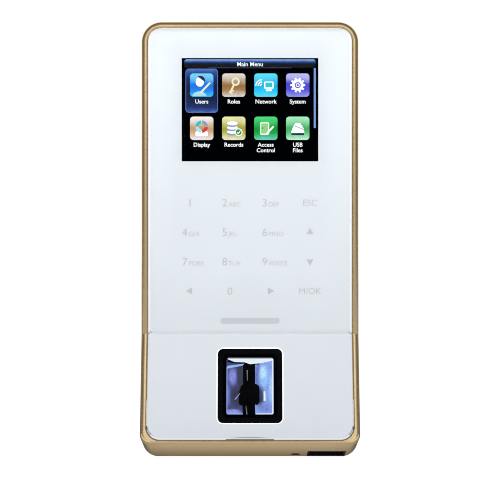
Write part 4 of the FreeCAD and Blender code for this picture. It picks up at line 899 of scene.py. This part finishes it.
def make_sensor_barrel():
    """The dark lens barrel between the walls, thicker at its middle."""
    barrel = Sheet("sensor_barrel", {"dark": LOOKS["black_gloss"]}, **ON_PRISM)
    left, right, half_tall = BARREL_LEFT, BARREL_RIGHT, VIEW_HALF_TALL
    outline = [(left, half_tall), (left, 0.9), (-3.2, 0.2), (-4.0, -2.2), (-4.0, -6.4),
               (left - 0.2, -6.9), (left - 0.1, -half_tall), (right, -half_tall), (right, -6.2)]
    outline += disc(1.9, -5.2, 1.5, start=-80, end=0, count=40)
    outline += disc(1.9, -0.6, 1.5, start=0, end=80, count=40)
    outline += [(right, 1.0), (right, 7.8), (3.4, 8.6), (3.4, half_tall)]
    barrel.plate(outline, "dark", -PRISM_DEEP - 0.2, 0.3)
    barrel.plate(box((left + right) / 2, 0.0, right - left, 2 * half_tall), "dark",
                 -PRISM_DEEP - 2.4, 2.2)
    dark = barrel.make("terminal")
    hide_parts("sensor_lens")


def make_prism_glints():
    """Painted glints and a dark reflection of the prism's facets, on its back."""
    half_wide, half_tall = VIEW_HALF_WIDE, VIEW_HALF_TALL
    glints = Sheet("prism_glints", {
        "white": lit("glint_white", linear(236, 244, 255), 1.0),
        "blue": lit("glint_blue", linear(150, 184, 246), 1.0),
        "violet": lit("glint_violet", linear(160, 156, 232), 1.0),
        "grey": lit("glint_grey", linear(112, 132, 128), 0.8),
        "black": LOOKS["black_gloss"]}, **ON_PRISM)
    # Each painted glint, and the dark reflection: its colour, how far it stands in front of the
    # others, and its outline.
    facets = [
        ("white", 0.02, [(-7.8, 9.7), (-5.5, 8.8), (-1.9, 8.7), (0.0, 8.0), (3.6, 8.35),
                         (8.3, 9.3), (8.3, 10.0), (-8.1, 10.0)]),
        ("black", 0.0, [(-8.3, 8.9), (-5.5, 8.3), (-2.0, 8.3), (3.2, 7.9), (3.6, 8.3),
                        (0.0, 7.9), (-1.9, 8.9), (-5.5, 9.3), (-7.9, 9.5)]),
        ("blue", 0.02, [(-8.3, 7.4), (-2.1, 8.2), (-2.7, 7.5), (-8.2, 6.4)]),
        ("grey", 0.0, [(-1.25, 5.9), (-1.05, 2.1), (-0.85, 2.1), (-0.75, 5.9)]),
        ("white", 0.0, [(4.9, -1.7), (4.9, -5.1), (5.65, -5.1), (5.5, -1.7)]),
        ("violet", 0.0, [(-5.6, -4.6), (-3.7, -2.4), (-3.55, -2.5), (-5.15, -4.7)]),
        ("grey", 0.0, [(-1.55, -6.9), (-1.3, -10.0), (-0.9, -10.0), (-1.35, -6.9)]),
        ("blue", 0.0, box(-half_wide + 0.18, -1.4, 0.22, 2 * half_tall - 3.4)),
        ("white", 0.0, box(half_wide - 0.28, -0.2, 0.4, 2 * half_tall - 1.0)),
        ("blue", 0.0, box(-5.4, -half_tall + 0.25, 5.6, 0.4)),
        ("white", 0.0, box(5.1, -half_tall + 0.25, 6.0, 0.4))]
    for ink, lift, outline in facets:
        glints.plate(outline, ink, -PRISM_DEEP + 0.15 + lift)
    glints.make("terminal")


make_sensor_glow()
make_sensor_barrel()
make_prism_glints()

# ---------- edges and gaps of the panels, with painted highlights, light and shade

CORNER_STEPS = 8
GLASS_CORNER = 4.65
COVER_CORNER, COVER_GAP = 4.8, 0.13
WINDOW_WIDE, WINDOW_TALL, WINDOW_CORNER = 22.9, 26.2, 1.9


def on_slope(node):
    """A node's extent on the sloping face: across, up and outward, in mm from its centre."""
    turn = (Matrix.Translation(PRISM_CENTRE) @ Matrix.Rotation(-LEAN, 4, "X")).inverted()
    spots = [turn @ v.co for v in NODES[node].data.vertices]
    return [(min(axis) / MM, max(axis) / MM) for axis in
            ([p.x for p in spots], [p.z for p in spots], [-p.y for p in spots])]


def one_round_end(across, low, high, radius, up_end):
    """A panel's outline with its two upper or two lower corners rounded.

    A sharp corner's point is repeated, so that all outlines have as many points."""
    points = []
    for sx, sz, first in ((1, 1, 0), (-1, 1, 90), (-1, -1, 180), (1, -1, 270)):
        if (sz > 0) == up_end:
            points += disc(sx * (across - radius), (high if sz > 0 else low) - sz * radius,
                           radius, start=first, end=first + 90, count=4 * CORNER_STEPS)
        else:
            points += [(sx * across, high if sz > 0 else low)] * (CORNER_STEPS + 1)
    return points


def tube(name, points, count, look):
    """A closed rim: rings of count points, each joined to the next and the last to the first."""
    rings = len(points) // count
    faces = []
    for ring in range(rings):
        here, after = ring * count, (ring + 1) % rings * count
        faces += [(here + i, here + (i + 1) % count, after + (i + 1) % count, after + i)
                  for i in range(count)]
    piece = new_piece(name, points, faces, [look])
    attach(piece, "terminal")


def glass_ring(inset):
    """The front glass's outline drawn in from its sides."""
    low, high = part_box("front_glass")
    return one_round_end(high.x / MM - inset, low.z / MM + inset, high.z / MM - inset,
                         GLASS_CORNER - inset, True)


def make_glass_edge():
    """A painted highlight: a pale line on the front glass's rounded edge."""
    front = front_level("front_glass")
    # The line's section: how far in from the glass's side, and how far in front of its face.
    section = [(0.0, -0.3), (0.1, -0.08), (0.3, 0.01), (0.32, 0.01), (0.32, -0.02), (0.14, -0.12)]
    rings = [[(x * MM, -(front + rise) * MM, z * MM) for x, z in glass_ring(inset)]
             for inset, rise in section]
    tube("glass_edge", sum(rings, []), len(rings[0]),
         plain("glass_edge_highlight", linear(250, 253, 255), 0.25, vary=0.005, Coat_Weight=0.3))


def make_margin_glow():
    """A painted highlight line and a softer band of painted light inside the glass's edge, on the
    print, but not at the seam.
    """
    margin = Sheet("margin_glow", {
        "line": painted_light("margin_highlight", linear(252, 254, 255), 0.4, 0.28),
        "soft": painted_light("margin_soft_light", linear(243, 248, 253), 0.4, 0.03)})
    above_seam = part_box("front_glass")[0].z / MM + 3.0
    for look, outer, inner in (("line", 0.05, 0.5), ("soft", 0.5, 1.0)):
        for strip in band(glass_ring(outer), glass_ring(inner)):
            if max(z for _, z in strip) > above_seam:
                margin.plate(strip, look, front_level("legend_film"))
    margin.make("terminal")


def make_seam_painted_gap():
    """A pale strip in the seam between the glass and the cover, with a glow of its own: painted
    light where the gap would be in shade.
    """
    low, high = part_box("front_glass")
    top, foot = low.z / MM - 0.02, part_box("lower_cover")[1].z / MM + 0.02
    seam = Sheet("seam_painted_gap", {"pale": painted_light("seam_glow_fill", linear(240, 245, 250), 0.5, 0.25, 0.02,
                                             linear(230, 238, 246))})
    seam.plate(box(0.0, (top + foot) / 2, 2 * (high.x / MM) - 1.0, top - foot), "pale",
               front_level("front_glass") - 0.75, 0.5)
    seam.make("terminal")


def make_window_lip():
    """The white lip round the finger window, brightened by a glow of its own as a painted
    highlight.
    """
    _, _, (_, face) = on_slope("lower_cover")
    lip = Sheet("window_lip", {"white": painted_light("lip_highlight", linear(252, 254, 255), 0.3, 0.18,
                                              glow=linear(236, 244, 252))}, **ON_PRISM)
    lip.plates(band(box(0, 0, WINDOW_WIDE + 0.95, WINDOW_TALL + 0.95, WINDOW_CORNER + 0.45, 6),
                    box(0, 0, WINDOW_WIDE + 0.1, WINDOW_TALL + 0.1, WINDOW_CORNER, 6)),
               "white", face - 0.1, 0.22)
    lip.make("terminal")


def make_cover_painted_gap():
    """Painted light and shade in the gap below the cover, and a painted highlight on the cover's
    lower edge.
    """
    (_, edge), (foot, _), (_, face) = on_slope("lower_cover")
    painted_gap = Sheet("cover_painted_gap", {
        "dark": plain("painted_gap_dark", linear(78, 90, 96), 0.6, vary=0.1),
        "shade": plain("painted_gap_shade", linear(176, 188, 194), 0.6, vary=0.06),
        "notch_shade": plain("painted_gap_notch_shade", linear(128, 130, 122), 0.6, vary=0.06),
        "edge": painted_light("cover_edge_highlight", linear(216, 221, 226), 0.4, 0.12, 0.01),
        "pale": plain("painted_gap_pale", linear(236, 240, 242), 0.5, vary=0.03)}, **ON_PRISM)

    def rims(spread, inset, radius):
        return band(one_round_end(edge + spread, foot - spread, foot + 14.0, COVER_CORNER, False),
                    one_round_end(edge - inset, foot + inset, foot + 13.9, radius, False))

    # A pale fill, painted as lit, along the cover's foot and a little way up its sides, with
    # painted shade round the corners.
    for strip in rims(COVER_GAP, 1.4, 4.4):
        if min(z for _, z in strip) < foot + 6.5:
            slanted = max(abs(x) for x, _ in strip) < edge or len({x for x, _ in strip}) > 2
            corner = all(abs(x) > edge - 6.0 for x, _ in strip)
            painted_gap.plate(strip, "shade" if corner and slanted else "pale", face - 1.85, 1.6)
    # The cover's lower edge, a painted highlight with a faint glow.
    for strip in rims(COVER_GAP - 0.03, 0.45, 4.5):
        if max(z for _, z in strip) < foot + 1.9:
            painted_gap.plate(strip, "edge", face - 0.04, 0.05)
    # A line of painted shade in the notch, and painted shade at the ends of the gap at the sides.
    painted_gap.plate(box(0.0, foot + 0.05, 17.0, 0.3), "notch_shade", face + 0.01, 0.01)
    for side in (-1, 1):
        painted_gap.plate(box(side * (edge - 0.1), foot + 4.1, 0.5, 1.3), "dark", face - 0.24, 0.06)
    painted_gap.make("terminal")


make_glass_edge()
make_margin_glow()
make_seam_painted_gap()
make_window_lip()
make_cover_painted_gap()

# ---------- painted shade in the securing screw's hole

HOLE_CLEARANCE, HOLE_RISE = 0.3, 0.2    # how far past the screw's head its hole's rim can be
SHADE_RING_SHARES = (0.15, 0.85)            # the painted shade ring's two walls, as shares of the gap
SHADE_RING_TOP, MOUTH_TOP = 0.8, 0.7        # heights above the head's lower end
MOUTH_LIFT = 0.05                       # how far the painted shade ring stays inside the hole
SHADE_RING_POINTS = 40


def make_screw_hole_shade():
    """Painted shade: a dark ring between the securing screw's head and its hole, cut along the
    underside.
    """
    low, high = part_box("securing_screw")
    across, deep = (low.x + high.x) / 2, (low.y + high.y) / 2
    radius = (high.x - low.x) / 2
    hole = [v.co for v in NODES["housing_frame"].data.vertices
            if radius < math.hypot(v.co.x - across, v.co.y - deep) < radius + HOLE_CLEARANCE * MM
            and v.co.z < low.z + HOLE_RISE * MM]
    near, far = min(hole, key=lambda co: co.y), max(hole, key=lambda co: co.y)
    near_z = min(co.z for co in hole if co.y < near.y + 0.1 * MM)
    far_z = min(co.z for co in hole if co.y > far.y - 0.1 * MM)
    slope = (far_z - near_z) / (far.y - near.y)
    gap = (far.y - near.y) / 2 - radius
    inner, outer = (radius + share * gap for share in SHADE_RING_SHARES)
    points = []
    for reach, at_top in ((inner, False), (inner, True), (outer, True), (outer, False)):
        for turn in range(SHADE_RING_POINTS):
            angle = 2 * math.pi * turn / SHADE_RING_POINTS
            y = deep + reach * math.sin(angle)
            mouth = near_z + slope * (y - near.y) + MOUTH_LIFT * MM
            points.append((across + reach * math.cos(angle), y,
                           low.z + SHADE_RING_TOP * MM if at_top
                           else min(mouth, low.z + MOUTH_TOP * MM)))
    tube("screw_hole_shade", points, SHADE_RING_POINTS,
         plain("hole_shade_brown", linear(98, 78, 54), 0.6, vary=0.15))


make_screw_hole_shade()

# ---------- the rim's shadow

def spare_panel():
    """The raised rim doesn't shade the panel inside it from the key light."""
    rim = bpy.data.collections.new("rim")
    for piece in (NODES["housing_frame"], bpy.data.objects["glass_edge"]):
        rim.objects.link(piece)
    for entry in rim.collection_objects:
        entry.light_linking.link_state = "EXCLUDE"
    KEY_LIGHT.light_linking.blocker_collection = rim


spare_panel()
